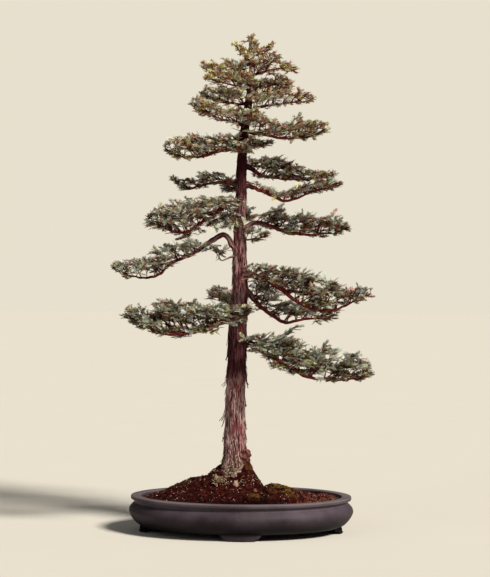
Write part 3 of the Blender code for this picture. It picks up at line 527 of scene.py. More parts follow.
def bark_finish():
    """Fibrous bark, silvered where it is weathered, with painted shade in dark red at the heights where the
    pads above shadow the trunk, and dark red on the limbs, partly their own bark and partly painted shade.

    The note gives each point's place on the straightened stem, so that the fibres follow it.
    """
    finish = Finish("redwood_bark", 0.85, 0.08)
    stem, *_ = finish.note()
    place = finish.place
    right, _, height = finish.parts(place)
    fibres = finish.noise(finish.stretched(stem, (1, 1, 0.09)), 520, 4, 0.7)
    strands = finish.noise(finish.stretched(stem, (1, 1, 0.11)), 250, 3)
    patches = finish.noise(finish.stretched(place, (1, 1, 0.5)), 26, 3)
    red = finish.mix(finish.spread(fibres, 0.4, 0.6), rgb(24, 2, 7), rgb(146, 70, 72))
    # Painted shade: dark red bands on the trunk under the low pads and in the crown, with less silver in
    # them.
    above_low = finish.spread(height, 0.32, 0.36, 0, 0.8)
    above_middle = finish.spread(height, 0.43, 0.48, 0, 0.45)
    in_crown = finish.spread(height, 0.72, 0.8, 0, 0.58)
    painted_pad_shade = finish.plus(finish.less(above_low, above_middle), in_crown)
    silvered = finish.times(finish.spread(strands, 0.45, 0.58), finish.spread(patches, 0.4, 0.56, 0.34, 0.95))
    silvered = finish.times(silvered, finish.spread(painted_pad_shade, 0, 0.8, 1, 0.3))
    bark = finish.mix(silvered, red, rgb(206, 178, 174))
    near_soil = finish.spread(height, 0.14, 0.176, 0.9, 0.0)
    lichen = finish.times(finish.spread(finish.noise(place, 230, 3), 0.48, 0.58), near_soil)
    bark = finish.mix(near_soil, bark, rgb(84, 44, 38))
    bark = finish.mix(lichen, bark, rgb(206, 186, 160))
    mossy = finish.times(finish.spread(right, -0.004, 0.006), finish.spread(height, 0.176, 0.2, 0.85, 0))
    crumbs = finish.spread(finish.noise(place, 240, 3), 0.42, 0.62)
    bark = finish.mix(mossy, bark, finish.mix(crumbs, rgb(40, 8, 12), rgb(104, 46, 40)))
    # The limbs are darker, partly their own dark red bark and partly painted shade; rgb(36, 3, 10) is the
    # colour of both this and the painted shade above.
    from_trunk = finish.length(finish.stretched(place, (1, 1, 0)))
    limb_bark_and_shade = finish.spread(from_trunk, 0.026, 0.05, 0.0, 0.5)
    finish.colour(finish.mix(finish.most(limb_bark_and_shade, painted_pad_shade), bark, rgb(36, 3, 10)))
    finish.bump(finish.plus(fibres, strands), 0.0012, 0.9)
    return finish.material


def needle_finish():
    """The note gives each needle its paleness, which carries painted light and shade, its yellowness and
    whether it is an old brown one.
    """
    finish = Finish("redwood_needles", 0.5, 0.15)
    _, pale, yellow, brown = finish.note()
    fleck = finish.noise(finish.place, 260, 2)
    flecked = finish.plus(pale, finish.spread(fleck, 0.3, 0.7, -0.15, 0.15))
    paleness = finish.spread(flecked, 0.12, 0.84)
    green = finish.mix(paleness, rgb(30, 8, 8), rgb(200, 213, 204))
    fresh = finish.mix(yellow, green, rgb(224, 214, 118))
    old = finish.mix(paleness, rgb(56, 13, 12), rgb(146, 58, 42))
    finish.colour(finish.mix(brown, fresh, old))
    return finish.material


def twig_finish():
    """The smooth red bark of young twigs."""
    finish = Finish("redwood_twigs", 0.7, 0.1)
    streaks = finish.noise(finish.place, 180, 3)
    finish.colour(finish.mix(finish.spread(streaks, 0.35, 0.65), rgb(46, 8, 12), rgb(132, 54, 48)))
    finish.bump(streaks, 0.0005, 0.6)
    return finish.material


def soil_finish():
    """The note gives each grain its shade, and how reddish and how mossy it is."""
    finish = Finish("soil_and_moss", 0.95, 0.05)
    _, shade, reddish, moss = finish.note()
    place = finish.place
    along, depth, _ = finish.parts(place)
    fleck = finish.noise(place, 500, 3)
    dark = finish.mix(finish.spread(fleck, 0.4, 0.65), rgb(6, 0, 1), rgb(42, 9, 10))
    dark = finish.mix(finish.spread(finish.noise(place, 110, 3), 0.46, 0.62, 0, 0.7), dark, rgb(74, 24, 17))
    grain = finish.mix(shade, dark, rgb(232, 210, 182))
    grain = finish.mix(reddish, grain, rgb(146, 58, 44))
    patch = finish.plus(finish.noise(place, 34, 2), finish.noise(place, 170, 2))
    green = finish.mix(finish.spread(patch, 0.97, 1.14), rgb(12, 3, 3), rgb(128, 96, 42))
    # Painted shadow of the rim: the soil along the front wall is darkened, less so towards the right.
    front = finish.spread(depth, -0.09, -0.13, 0, 0.8)
    painted_shade_band = finish.times(finish.times(front, finish.spread(along, 0.09, 0.15, 1, 0.2)),
                        finish.spread(along, -0.19, -0.14, 0, 1))
    finish.colour(finish.mix(painted_shade_band, finish.mix(moss, grain, green), rgb(9, 0, 1)))
    finish.bump(fleck, 0.0015, 0.6)
    return finish.material


def screen_finish():
    """Dark moulded plastic, a little uneven."""
    finish = Finish("screen_plastic", 0.45, 0.4)
    speck = finish.noise(finish.place, 700, 2)
    finish.colour(finish.mix(speck, rgb(28, 28, 28), rgb(48, 48, 48)))
    finish.bump(speck, 0.0002, 0.4)
    return finish.material


def oval_points(angle, inset):
    """Points of the pot's outline, moved inwards by the inset in mm."""
    c, s = np.cos(angle), np.sin(angle)
    outward = unit(np.stack([POT_HALF_DEPTH * c, POT_HALF_LENGTH * s], axis=-1))
    outline = np.stack([POT_HALF_LENGTH * c, POT_HALF_DEPTH * s], axis=-1)
    return outline - outward * np.asarray(inset)[..., None] * MM


def softened(points, rounds=2):
    """An open outline with its corners cut off again and again, which rounds them."""
    for _ in range(rounds):
        cut = [points[0]]
        for a, b in zip(points, points[1:]):
            cut += [tuple(p + (q - p) * share for p, q in zip(a, b)) for share in (0.25, 0.75)]
        points = [*cut, points[-1]]
    return points


def make_pot(finish):
    """The bowl, with two drainage holes in its floor, and its four feet."""
    section = np.array(softened([*POT_OUTSIDE, *POT_INSIDE]))
    flat = oval_points(np.broadcast_to(turns(POT_SIDES), (len(section), POT_SIDES)), section[:, :1])
    height = np.broadcast_to(section[:, 1:] * MM, flat.shape[:2])
    bowl = Form()
    bowl.add_rings(np.concatenate([flat, height[..., None]], axis=-1))
    piece = bowl.make("clay_pot", finish, "unglazed_clay", "pot")
    piece.data.set_sharp_from_angle(angle=SHARP_ANGLE)
    for side in (-1, 1):
        bpy.ops.mesh.primitive_cylinder_add(vertices=32, radius=DRAIN_RADIUS, depth=0.04,
                                            location=(side * DRAIN_OFFSET, 0, DRAIN_CUTTER_HEIGHT))
        cutter = bpy.context.object
        cut = piece.modifiers.new("drain", "BOOLEAN")
        cut.operation = "DIFFERENCE"
        cut.object = cutter
        with bpy.context.temp_override(object=piece):
            bpy.ops.object.modifier_apply(modifier="drain")
        bpy.data.objects.remove(cutter, do_unlink=True)
    make_feet(finish)


def make_feet(finish):
    """Four low feet under the pot's ends and sides, their own ends bent back a little with its outline."""
    mirrored = [(-along, height) for along, height in reversed(FOOT_OUTLINE)]
    along, height = np.array(softened([*FOOT_OUTLINE, *mirrored])).T
    half_length, top = FOOT_OUTLINE[0]
    feet = Form()
    for k in range(4):
        out = np.array((round(math.cos(k * math.pi / 2)), round(math.sin(k * math.pi / 2)), 0))
        side = np.array((out[1], -out[0], 0))
        edge = np.array((*oval_points(k * math.pi / 2, FOOT_INSET / MM), 0))
        rings = []
        for depth, size in FOOT_SECTIONS:
            away = depth * FOOT_THICKNESS - np.abs(along) / half_length * FOOT_THICKNESS * FOOT_DRAWN_BACK
            lift = (top - (top - height) * size) * MM
            spread = side * (along * size * MM)[:, None]
            rings.append(edge + spread + out * away[:, None] + np.outer(lift, UP))
        feet.add_rings(rings)
    piece = feet.make("pot_feet", finish, "unglazed_clay", "pot")
    piece.data.set_sharp_from_angle(angle=SHARP_ANGLE)


def hump_distance(x, y, hump):
    """The square of how far a place is from a hump's middle, 1 at its edge."""
    hump_x, hump_y, half_x, half_y = hump[:4]
    return ((x / MM - hump_x) / half_x) ** 2 + ((y / MM - hump_y) / half_y) ** 2


def soil_places(share, angle):
    """Points on the soil, `share` of the way from the trunk to the wall of the pot."""
    share, angle = np.broadcast_arrays(share, angle)
    spoke = np.stack([np.cos(angle), np.sin(angle)], axis=-1)
    inner = np.array((TRUNK[1][1] * MM, 0)) + spoke * (ROOT_RADIUS - ROOT_OVERLAP)
    outer = oval_points(angle, np.full(angle.shape, POT_INSIDE[2][0] + SOIL_CLEARANCE))
    x, y = np.moveaxis(inner + (outer - inner) * share[..., None], -1, 0)
    fall = SOIL_FALL[0] + SOIL_FALL[1] * ((1 + np.cos(angle)) / 2) ** 2
    height = SOIL_EDGE + (SOIL_TOP - SOIL_EDGE) * (1 - share) ** fall
    for hump in MOSS_HUMPS:
        rise, _, edge = hump[4:]
        height = height + rise * MM * np.clip(1 - hump_distance(x, y, hump), 0, 1) ** edge
    lumps = np.sin(x * 190 + 1.3) * np.sin(y * 230 + 0.4) + np.sin(x * 83 - y * 120)
    rough = wander(x * 160, y * 160, 400, 5) + 0.5 * wander(x * 400, y * 400, 900, 6)
    near_trunk = np.clip(1 - 4 * share, 0, 1)
    height = height + 1.3 * lumps * MM * np.sin(math.pi * share)
    height = height + (1.7 + 1.6 * near_trunk) * rough * MM * np.minimum(1, 6 * (1 - share))
    return np.stack([x, y, height], axis=-1)


def mossiness(places):
    """How mossy the soil is, 0 to 1: on the humps, and in patches near them."""
    x, y = places[..., 0], places[..., 1]
    found = np.zeros(x.shape)
    for hump in MOSS_HUMPS:
        most = hump[5]
        found = np.maximum(found, most - hump_distance(x, y, hump))
    return np.clip(found + 0.4 * wander(x * 45, y * 45, 100, 9) - 0.22, 0, 1)


def random_soil_places(rng, count):
    """Random points on the soil, no denser near the trunk than near the wall, and the way out of it there."""
    angle = rng.uniform(0, 2 * math.pi, count)
    share = np.sqrt(rng.uniform(0.012, 0.985, count))
    places = soil_places(share, angle)
    inward = soil_places(np.maximum(0.0, share - 0.03), angle) - places
    around = soil_places(share, angle + 0.05) - places
    return places, unit(np.cross(around, inward))


def frames(ahead, rng):
    """Two directions square to each given one and to each other, turned at random round it, and itself."""
    across = unit(np.cross(ahead, unit(rng.normal(size=ahead.shape))))
    return across, np.cross(ahead, across), ahead


def add_copies(form, shape, faces, places, axes, note):
    """Copies of a small shape (copies, points, 3), each turned into its own axes at its own place."""
    across, above, ahead = (axis[:, None] for axis in axes)
    turned = shape[..., 0:1] * across + shape[..., 1:2] * above + shape[..., 2:3] * ahead
    count, size = turned.shape[:2]
    corners = (faces + size * np.arange(count)[:, None, None]).reshape(-1, faces.shape[1])
    form.add(turned + places[:, None], corners, note=np.repeat(note, size, axis=0))


def add_flakes(form, shape, places, ahead, outward, note):
    """Flakes that lie along `ahead`, lifted a little off the surface."""
    add_copies(form, shape, NEEDLE_FACES, places + outward * FLAKE_LIFT * MM,
               (ahead, np.cross(outward, ahead), outward), note)


def make_soil(finish):
    """The mound, and all that lies or grows on it."""
    rng = np.random.default_rng(SEED)
    rings = soil_places(np.linspace(1, 0, SOIL_RINGS)[:, None], turns(SOIL_SIDES))
    rings = np.concatenate([rings[:1] - np.array((0, 0, SOIL_SKIRT)), rings])
    shade = np.zeros(rings.shape)
    shade[..., 2] = 0.8 * mossiness(rings)
    soil = Form()
    soil.add_rings(rings, shade.reshape(-1, 3))
    soil.make("soil_mound", finish, "soil_and_moss", "soil")
    make_grains(finish, rng)
    make_moss(finish, rng)
    make_sprigs(finish, rng)
    make_litter(finish, rng)
    make_stones(finish)


OCTAHEDRON = np.array([(1, 0, 0), (0, 1, 0), (-1, 0, 0), (0, -1, 0), (0, 0, 1), (0, 0, -1)], float)
OCTAHEDRON_FACES = np.array([(0, 1, 4), (1, 2, 4), (2, 3, 4), (3, 0, 4), (1, 0, 5), (2, 1, 5), (3, 2, 5),
                             (0, 3, 5)])
SPIKE = np.array([(1, 0, 0), (-0.5, 0.87, 0), (-0.5, -0.87, 0), (0, 0, 1)])
SPIKE_FACES = np.array([(0, 1, 3), (1, 2, 3), (2, 0, 3), (2, 1, 0)])
FLAKE = np.array([(-1, 0, 0), (0, -0.35, 0.12), (1, 0, 0), (0, 0.35, -0.12)])
FLAKE_LIFT = 0.8


def make_grains(finish, rng):
    """Loose grains of soil, a few of them large or pale, most thickly where there is no moss."""
    places, _ = random_soil_places(rng, GRAINS)
    places = places[(mossiness(places) < 0.6) | (rng.random(GRAINS) < 0.15)]
    count = len(places)
    size = rng.uniform(0.7, 1.5, count) * MM * np.where(rng.random(count) < 0.08, 1.7, 1)
    ahead = unit(rng.normal(size=(count, 3)))
    shape = OCTAHEDRON * rng.uniform(0.6, 1.3, (count, 1, 3)) * size[:, None, None]
    shade = np.where(rng.random(count) < 0.94, rng.uniform(0, 0.04, count), rng.uniform(0.4, 1, count))
    note = np.stack([shade, rng.uniform(0, 0.25, count), np.zeros(count)], axis=1)
    grains = Form()
    add_copies(grains, shape, OCTAHEDRON_FACES, places, frames(ahead, rng), note)
    grains.make("soil_grains", finish, "soil_and_moss", smooth=False)


def make_moss(finish, rng):
    """Moss as small upright tufts, each a slim three-sided spike with its foot in the soil."""
    places, outward = random_soil_places(rng, TUFTS * 4)
    kept = rng.random(len(places)) < mossiness(places) ** 1.5
    places, outward = places[kept][:TUFTS], outward[kept][:TUFTS]
    count = len(places)
    moss = mossiness(places)
    ahead = unit(outward + rng.uniform(-0.35, 0.35, (count, 3)))
    tall = rng.uniform(1.6, 3.4, count) * (0.5 + 0.5 * moss)
    thick = np.full(count, 0.75)
    shape = SPIKE * np.stack([thick, thick, tall], axis=1)[:, None] * MM
    note = np.stack([rng.uniform(0, 0.1, count), rng.uniform(0, 0.2, count), moss ** 0.5], axis=1)
    tufts = Form()
    add_copies(tufts, shape, SPIKE_FACES, places - outward * 0.6 * MM, frames(ahead, rng), note)
    tufts.make("moss_tufts", finish, "soil_and_moss")


def make_sprigs(finish, rng):
    """Reddish sprigs that stand in the soil at the right of the pot."""
    places, _ = random_soil_places(rng, SPRIGS * 6)
    x, y, _ = places.T
    left, right, back = SPRIG_AREA
    places = places[(x > left) & (x < right) & (y < back)]
    twigs = Twigs()
    for place in places:
        root = place - np.array((0, 0, 1 * MM))
        reach = rng.uniform((-3, -3, 4), (3, 3, 11)) * MM
        arch = rng.uniform(-1, 1, 3) * MM
        twigs.add(root, reach, arch, (1, 0, 0), SPRIG_RADII, 1.0, (0, 0, 0))
    shade = rng.uniform((0, 0.5, 0), (0.7, 0.95, 0), (len(places), 3))
    shade = np.repeat(shade, SPRIG_SIDES * SPRIG_STEPS, axis=0)
    sprigs = Form()
    sprigs.add_rings(twigs.rings(SPRIG_SIDES, SPRIG_STEPS), shade)
    sprigs.make("moss_sprigs", finish, "soil_and_moss")


def add_crust(form, places, outward, rng):
    """Scales of moss and lichen round the foot of the trunk and up its sides, thinning out away from it."""
    from_trunk = np.hypot(places[:, 0] / MM - TRUNK[0][1], places[:, 1] / MM)
    near = from_trunk < CRUST_REACH
    kept = rng.random(near.sum()) < 0.5 * np.clip((66 - from_trunk[near]) / 34, 0, 1)
    lowest, tall = CRUST_HEIGHT
    height = lowest + tall * rng.random(CRUST) ** 1.2
    turn = rng.uniform(0, 2 * math.pi, CRUST)
    spoke = np.stack([np.cos(turn), np.sin(turn), np.full(CRUST, 0.3)], axis=1)
    centre, radius = trunk_at(height)
    reach = spoke * radius[:, None] * np.array((1, 1, 0))
    axis = np.stack([centre, 0 * turn, height], axis=1)
    places = np.concatenate([places[near][kept], (reach + axis) * MM])
    outward = np.concatenate([outward[near][kept], unit(spoke)])
    count = len(places)
    ahead = np.cross(outward, unit(rng.normal(size=places.shape)))
    ahead = unit(ahead + outward * rng.uniform(0, 0.9, (count, 1)))
    shape = FLAKE * np.array((1.0, 1.6, 2.0)) * rng.uniform(1.2, 2.8, (count, 1, 1)) * MM
    x, y, z = places.T / MM
    in_front = (x > -48) & (x < -4) & (y < -8)
    kind = rng.random(count) + 0.5 * in_front * np.clip((z - 98) / 28, 0, 1)
    shade = np.where(kind > 0.8, rng.uniform(0.3, 1, count), rng.uniform(0, 0.12, count))
    reddish = rng.uniform(0.1, 0.6, count) * (kind < 0.5)
    moss = 1.0 * ((kind > 0.5) & (kind < 0.8))
    add_flakes(form, shape, places, ahead, outward, np.stack([shade, reddish, moss], axis=1))


def add_lichen(form, middle, outward, rng):
    """A pale rosette of lichen, its flakes fanning out from their middle."""
    ahead = unit(rng.normal(size=(LICHEN_FLAKES, 3)) + 2 * outward)
    across = unit(np.cross(outward, ahead))
    shape = FLAKE * np.array((1.5, 1.0, 0.5)) * rng.uniform(2.6, 4.4, (LICHEN_FLAKES, 1, 1)) * MM
    note = np.zeros((LICHEN_FLAKES, 3))
    note[:, 0] = rng.uniform(0.78, 1, LICHEN_FLAKES)
    places = middle + ahead * LICHEN_RADIUS * rng.uniform(0.4, 0.85, (LICHEN_FLAKES, 1))
    add_copies(form, shape, NEEDLE_FACES, places, (ahead, across, np.cross(ahead, across)), note)


def make_litter(finish, rng):
    """Fallen needles all over the soil, the crust at the foot of the trunk, and the lichen on the mound."""
    litter = Form()
    places, outward = random_soil_places(rng, LITTER)
    ahead = np.cross(outward, unit(rng.normal(size=places.shape)))
    ahead = unit(ahead + outward * rng.uniform(-0.5, 0.5, (LITTER, 1)))
    shape = FLAKE * np.array((1.1, 1.1, 1.0)) * rng.uniform(2.4, 4.6, (LITTER, 1, 1)) * MM
    moss = mossiness(places)
    shade = rng.uniform(0, 0.98, LITTER) ** 9 * (1 - moss)
    note = np.stack([shade, rng.uniform(0, 0.3, LITTER), 0.8 * moss], axis=1)
    add_flakes(litter, shape, places, ahead, outward, note)
    places, outward = random_soil_places(rng, LOOSE_PLACES)
    add_crust(litter, places, outward, rng)
    middle = np.argmin(np.hypot(*(places[:, :2] - LICHEN_PLACE).T))
    add_lichen(litter, places[middle], outward[middle], rng)
    litter.make("soil_litter", finish, "soil_and_moss", smooth=False)


def knobbly_balls(count, rows, sides, fineness, depth, shift, seed):
    """Rings of round lumps of radius 1, each with knobs of its own."""
    rise, turn = np.meshgrid(np.linspace(-1.45, 1.45, rows), turns(sides), indexing="ij")
    ball = np.stack([np.cos(turn) * np.cos(rise), np.sin(turn) * np.cos(rise), np.sin(rise)], axis=-1)
    for k in range(count):
        knobs = wander(ball[..., 0] * fineness + 9 * k + shift, ball[..., 2] * fineness + shift, 90, seed)
        yield ball * (1 + depth * knobs)[..., None]


def make_stones(finish):
    """A tan stone at the foot of the trunk and a few small dark ones, each half in the soil."""
    stones = Form()
    balls = knobbly_balls(len(STONES), rows=9, sides=12, fineness=1.6, depth=0.25, shift=7, seed=31)
    for ball, (*place, wide, tall, shade) in zip(balls, STONES):
        size = np.array((wide, wide * 0.8, tall)) * MM
        stones.add_rings(ball * size + np.array(place) * MM, (shade, 0.45, 0))
    stones.make("stones", finish, "soil_and_moss")


class Twigs:
    """Many curved twigs: each a start, a reach to its end, an arch at its middle and an upper side."""

    def __init__(self):
        self.rows = []

    def add(self, start, reach, arch, upper, radii, needles_from, note):
        """The radii are those of its root and its tip. Its needles begin at the share `needles_from`."""
        self.rows.append((*start, *reach, *arch, *upper, *radii, needles_from, *note))

    def columns(self):
        """Starts, reaches, arches, upper sides, radii, where needles begin, and notes."""
        return np.split(np.array(self.rows), (3, 6, 9, 12, 14, 15), axis=1)

    def at(self, index, t):
        """Point, direction and upper side of the twigs with these indices at shares t along them."""
        start, reach, arch, upper, *_ = self.columns()
        t = t[..., None]
        place = start[index] + reach[index] * t + arch[index] * 4 * t * (1 - t)
        ahead = unit(reach[index] + arch[index] * 4 * (1 - 2 * t))
        above = upper[index] - ahead * (upper[index] * ahead).sum(axis=-1, keepdims=True)
        return place, ahead, unit(above)

    def rings(self, sides, steps):
        """Rings (twigs, steps, sides, 3) round every twig."""
        index = np.arange(len(self.rows))[:, None]
        t = np.linspace(0, 1, steps)[None, :]
        place, ahead, above = self.at(index, np.broadcast_to(t, (len(self.rows), steps)))
        root, tip = self.columns()[4].T[..., None]
        radius = (root + (tip - root) * t)[..., None, None]
        across = np.cross(above, ahead)
        angle = turns(sides)[:, None]
        spoke = across[:, :, None] * np.cos(angle) + above[:, :, None] * np.sin(angle)
        return place[:, :, None] + spoke * radius


def add_needles(form, twigs, rng):
    """Flat linear needles along both sides of every twig, from where its needles begin to its tip."""
    _, reach, _, _, _, needles_from, notes = twigs.columns()
    needles_from = needles_from[:, 0]
    length = np.linalg.norm(reach, axis=1) * (1 - needles_from)
    count = np.maximum(6, np.round(length / NEEDLE_SPACING)).astype(int)
    index = np.repeat(np.arange(len(count)), count)
    total = len(index)
    order = np.arange(total) - np.repeat(np.cumsum(count) - count, count)
    along = (order + rng.uniform(0.1, 0.9, total)) / count[index]
    t = needles_from[index] + (1 - needles_from[index]) * along
    place, ahead, above = twigs.at(index, t)
    across = np.cross(ahead, above) * np.where(order % 2, 1.0, -1.0)[:, None]
    size = NEEDLE_LENGTH * (0.5 + 0.5 * np.sin(math.pi * np.clip(0.15 + 0.78 * along, 0, 1)))
    size *= rng.uniform(0.82, 1.12, total)
    lean = np.radians(50 - 26 * along ** 2 + rng.uniform(-8, 8, total))[:, None]
    lift = np.radians(rng.uniform(-8, 24, total))[:, None]
    out = across * np.cos(lift) + above * np.sin(lift)
    way = unit(ahead * np.cos(lean) + out * np.sin(lean))
    wide = unit(np.cross(way, above) + above * rng.uniform(-0.4, 0.4, total)[:, None])
    tip = place + way * size[:, None]
    root_half = wide * NEEDLE_HALF_WIDTH
    tip_half = wide * NEEDLE_HALF_WIDTH * 0.55
    lower = np.cross(wide, way) * NEEDLE_KEEL
    corners = (place - root_half, place + root_half - lower, tip + tip_half, tip - tip_half - lower)
    faces = (NEEDLE_FACES + 4 * np.arange(total)[:, None, None]).reshape(-1, 3)
    young = np.clip(along - 0.72, 0, 1)
    note = notes[index] + np.stack([rng.normal(0, 0.05, total) + young, young * 0.7, 0 * along], axis=1)
    note[:, 2] = np.where(rng.random(total) < note[:, 2], rng.uniform(0.5, 1, total), 0.0)
    form.add(np.stack(corners, axis=1).reshape(-1, 3), faces, note=np.repeat(note, 4, axis=0))


class Pad:
    """The outline that a branch's leaves fill: a lopsided oval round every point of the branch."""

    def __init__(self, branch, leafy):
        name, _, _, self.half_width, self.crown, self.below, _ = branch
        self.paleness = BRANCH_PALENESS.get(name, 0.0)
        self.line = np.array(leafy)
        self.tip_way = unit(self.line[-1] - self.line[-5])

    def radii(self, share, upwards):
        """Half width and height above or below the branch, in metres, `share` of the way along it."""
        wide = self.half_width * (0.2 + 0.8 * math.sin(math.pi * min(1.0, 0.2 + share * 0.8)) ** 0.7)
        tall = self.below
        if upwards:
            tall = float(np.interp(share, np.linspace(0, 1, len(self.crown)), self.crown))
        return wide * MM, tall * MM

    def reach(self, share, roll):
        """How far the outline is from the branch in the direction `roll` from upright."""
        wide, tall = self.radii(share, abs(roll) < math.pi / 2)
        return 1 / math.hypot(math.cos(roll) / tall, math.sin(roll) / wide)

    def fullness(self, place):
        """How far out a place is, 0 on the branch and 1 on the outline, and its share of the height."""
        offsets = np.array(place) - self.line
        k = int(np.argmin(offsets[:, 0] ** 2 + offsets[:, 1] ** 2))
        x, y, z = offsets[k]
        wide, tall = self.radii(k / (len(self.line) - 1), z > 0)
        beyond = max(0.0, float(offsets[-1] @ self.tip_way)) / PAD_BEYOND_TIP
        return math.hypot(math.hypot(x, y) / wide, z / tall, beyond), z / tall


def trunk_at(height):
    """Where the trunk's axis is and how thick it is at a height, all in mm."""
    return np.interp(height, TRUNK_HEIGHTS, TRUNK_CENTRES), np.interp(height, TRUNK_HEIGHTS, TRUNK_RADII)


def trunk_clearance(place):
    """How far a place is from the trunk's surface."""
    height = place.z / MM
    if height > TRUNK_HEIGHTS[-1]:
        return 1.0
    centre, radius = map(float, trunk_at(height))
    return math.hypot(place.x - centre * MM, place.y) - radius * MM


def tone(place, fullness, mood, rng):
    """Paleness, yellowness and share of brown needles of a shoot or twig, by where it ends.

    Its paleness is partly painted light and shade: dark deep in the pad and pale on top of it, and palest in
    the crown. It is also often brown deep in the pad, and most yellow in the crown.
    """
    out, up = fullness
    out = min(1.0, out)
    crown = clamp((place.z - 0.8) / 0.25)
    right = clamp(place.x / 0.03)
    above_low_pads = clamp((place.z - 0.46) / 0.06)
    # Painted light and shade: paler towards the outside and top of the pad and in the crown, darker inside
    # and below.
    pale = mood - 0.3 + 0.6 * out + 0.52 * clamp(up, low=-0.3) + 1.2 * crown
    pale = rng.gauss(pale, 0.14 + 0.1 * crown)
    yellow = rng.gauss(0.08 + 0.42 * crown, 0.2 + 0.08 * crown)
    brown_share = 0.22 + (0.38 + 0.12 * right) * above_low_pads + (0.22 + 0.14 * right) * crown
    brown = 0.9 if rng.random() < brown_share * (1.5 - out) else 0.06
    return clamp(pale), clamp(yellow, high=0.78), brown


def jitter(rng, size):
    return Vector([rng.uniform(-size, size) for _ in range(3)])


def level_way(line, index):
    """The level direction of a branch at a point of its line."""
    ahead = line[min(len(line) - 1, index + 1)] - line[max(0, index - 1)]
    level = Vector((ahead.x, ahead.y, 0))
    return level.normalized() if level.length > 0.3 * ahead.length else Vector((1, 0, 0))


def on_twig(root, reach, arch, t):
    """The point at the share t along a twig."""
    return root + reach * t + arch * 4 * t * (1 - t)


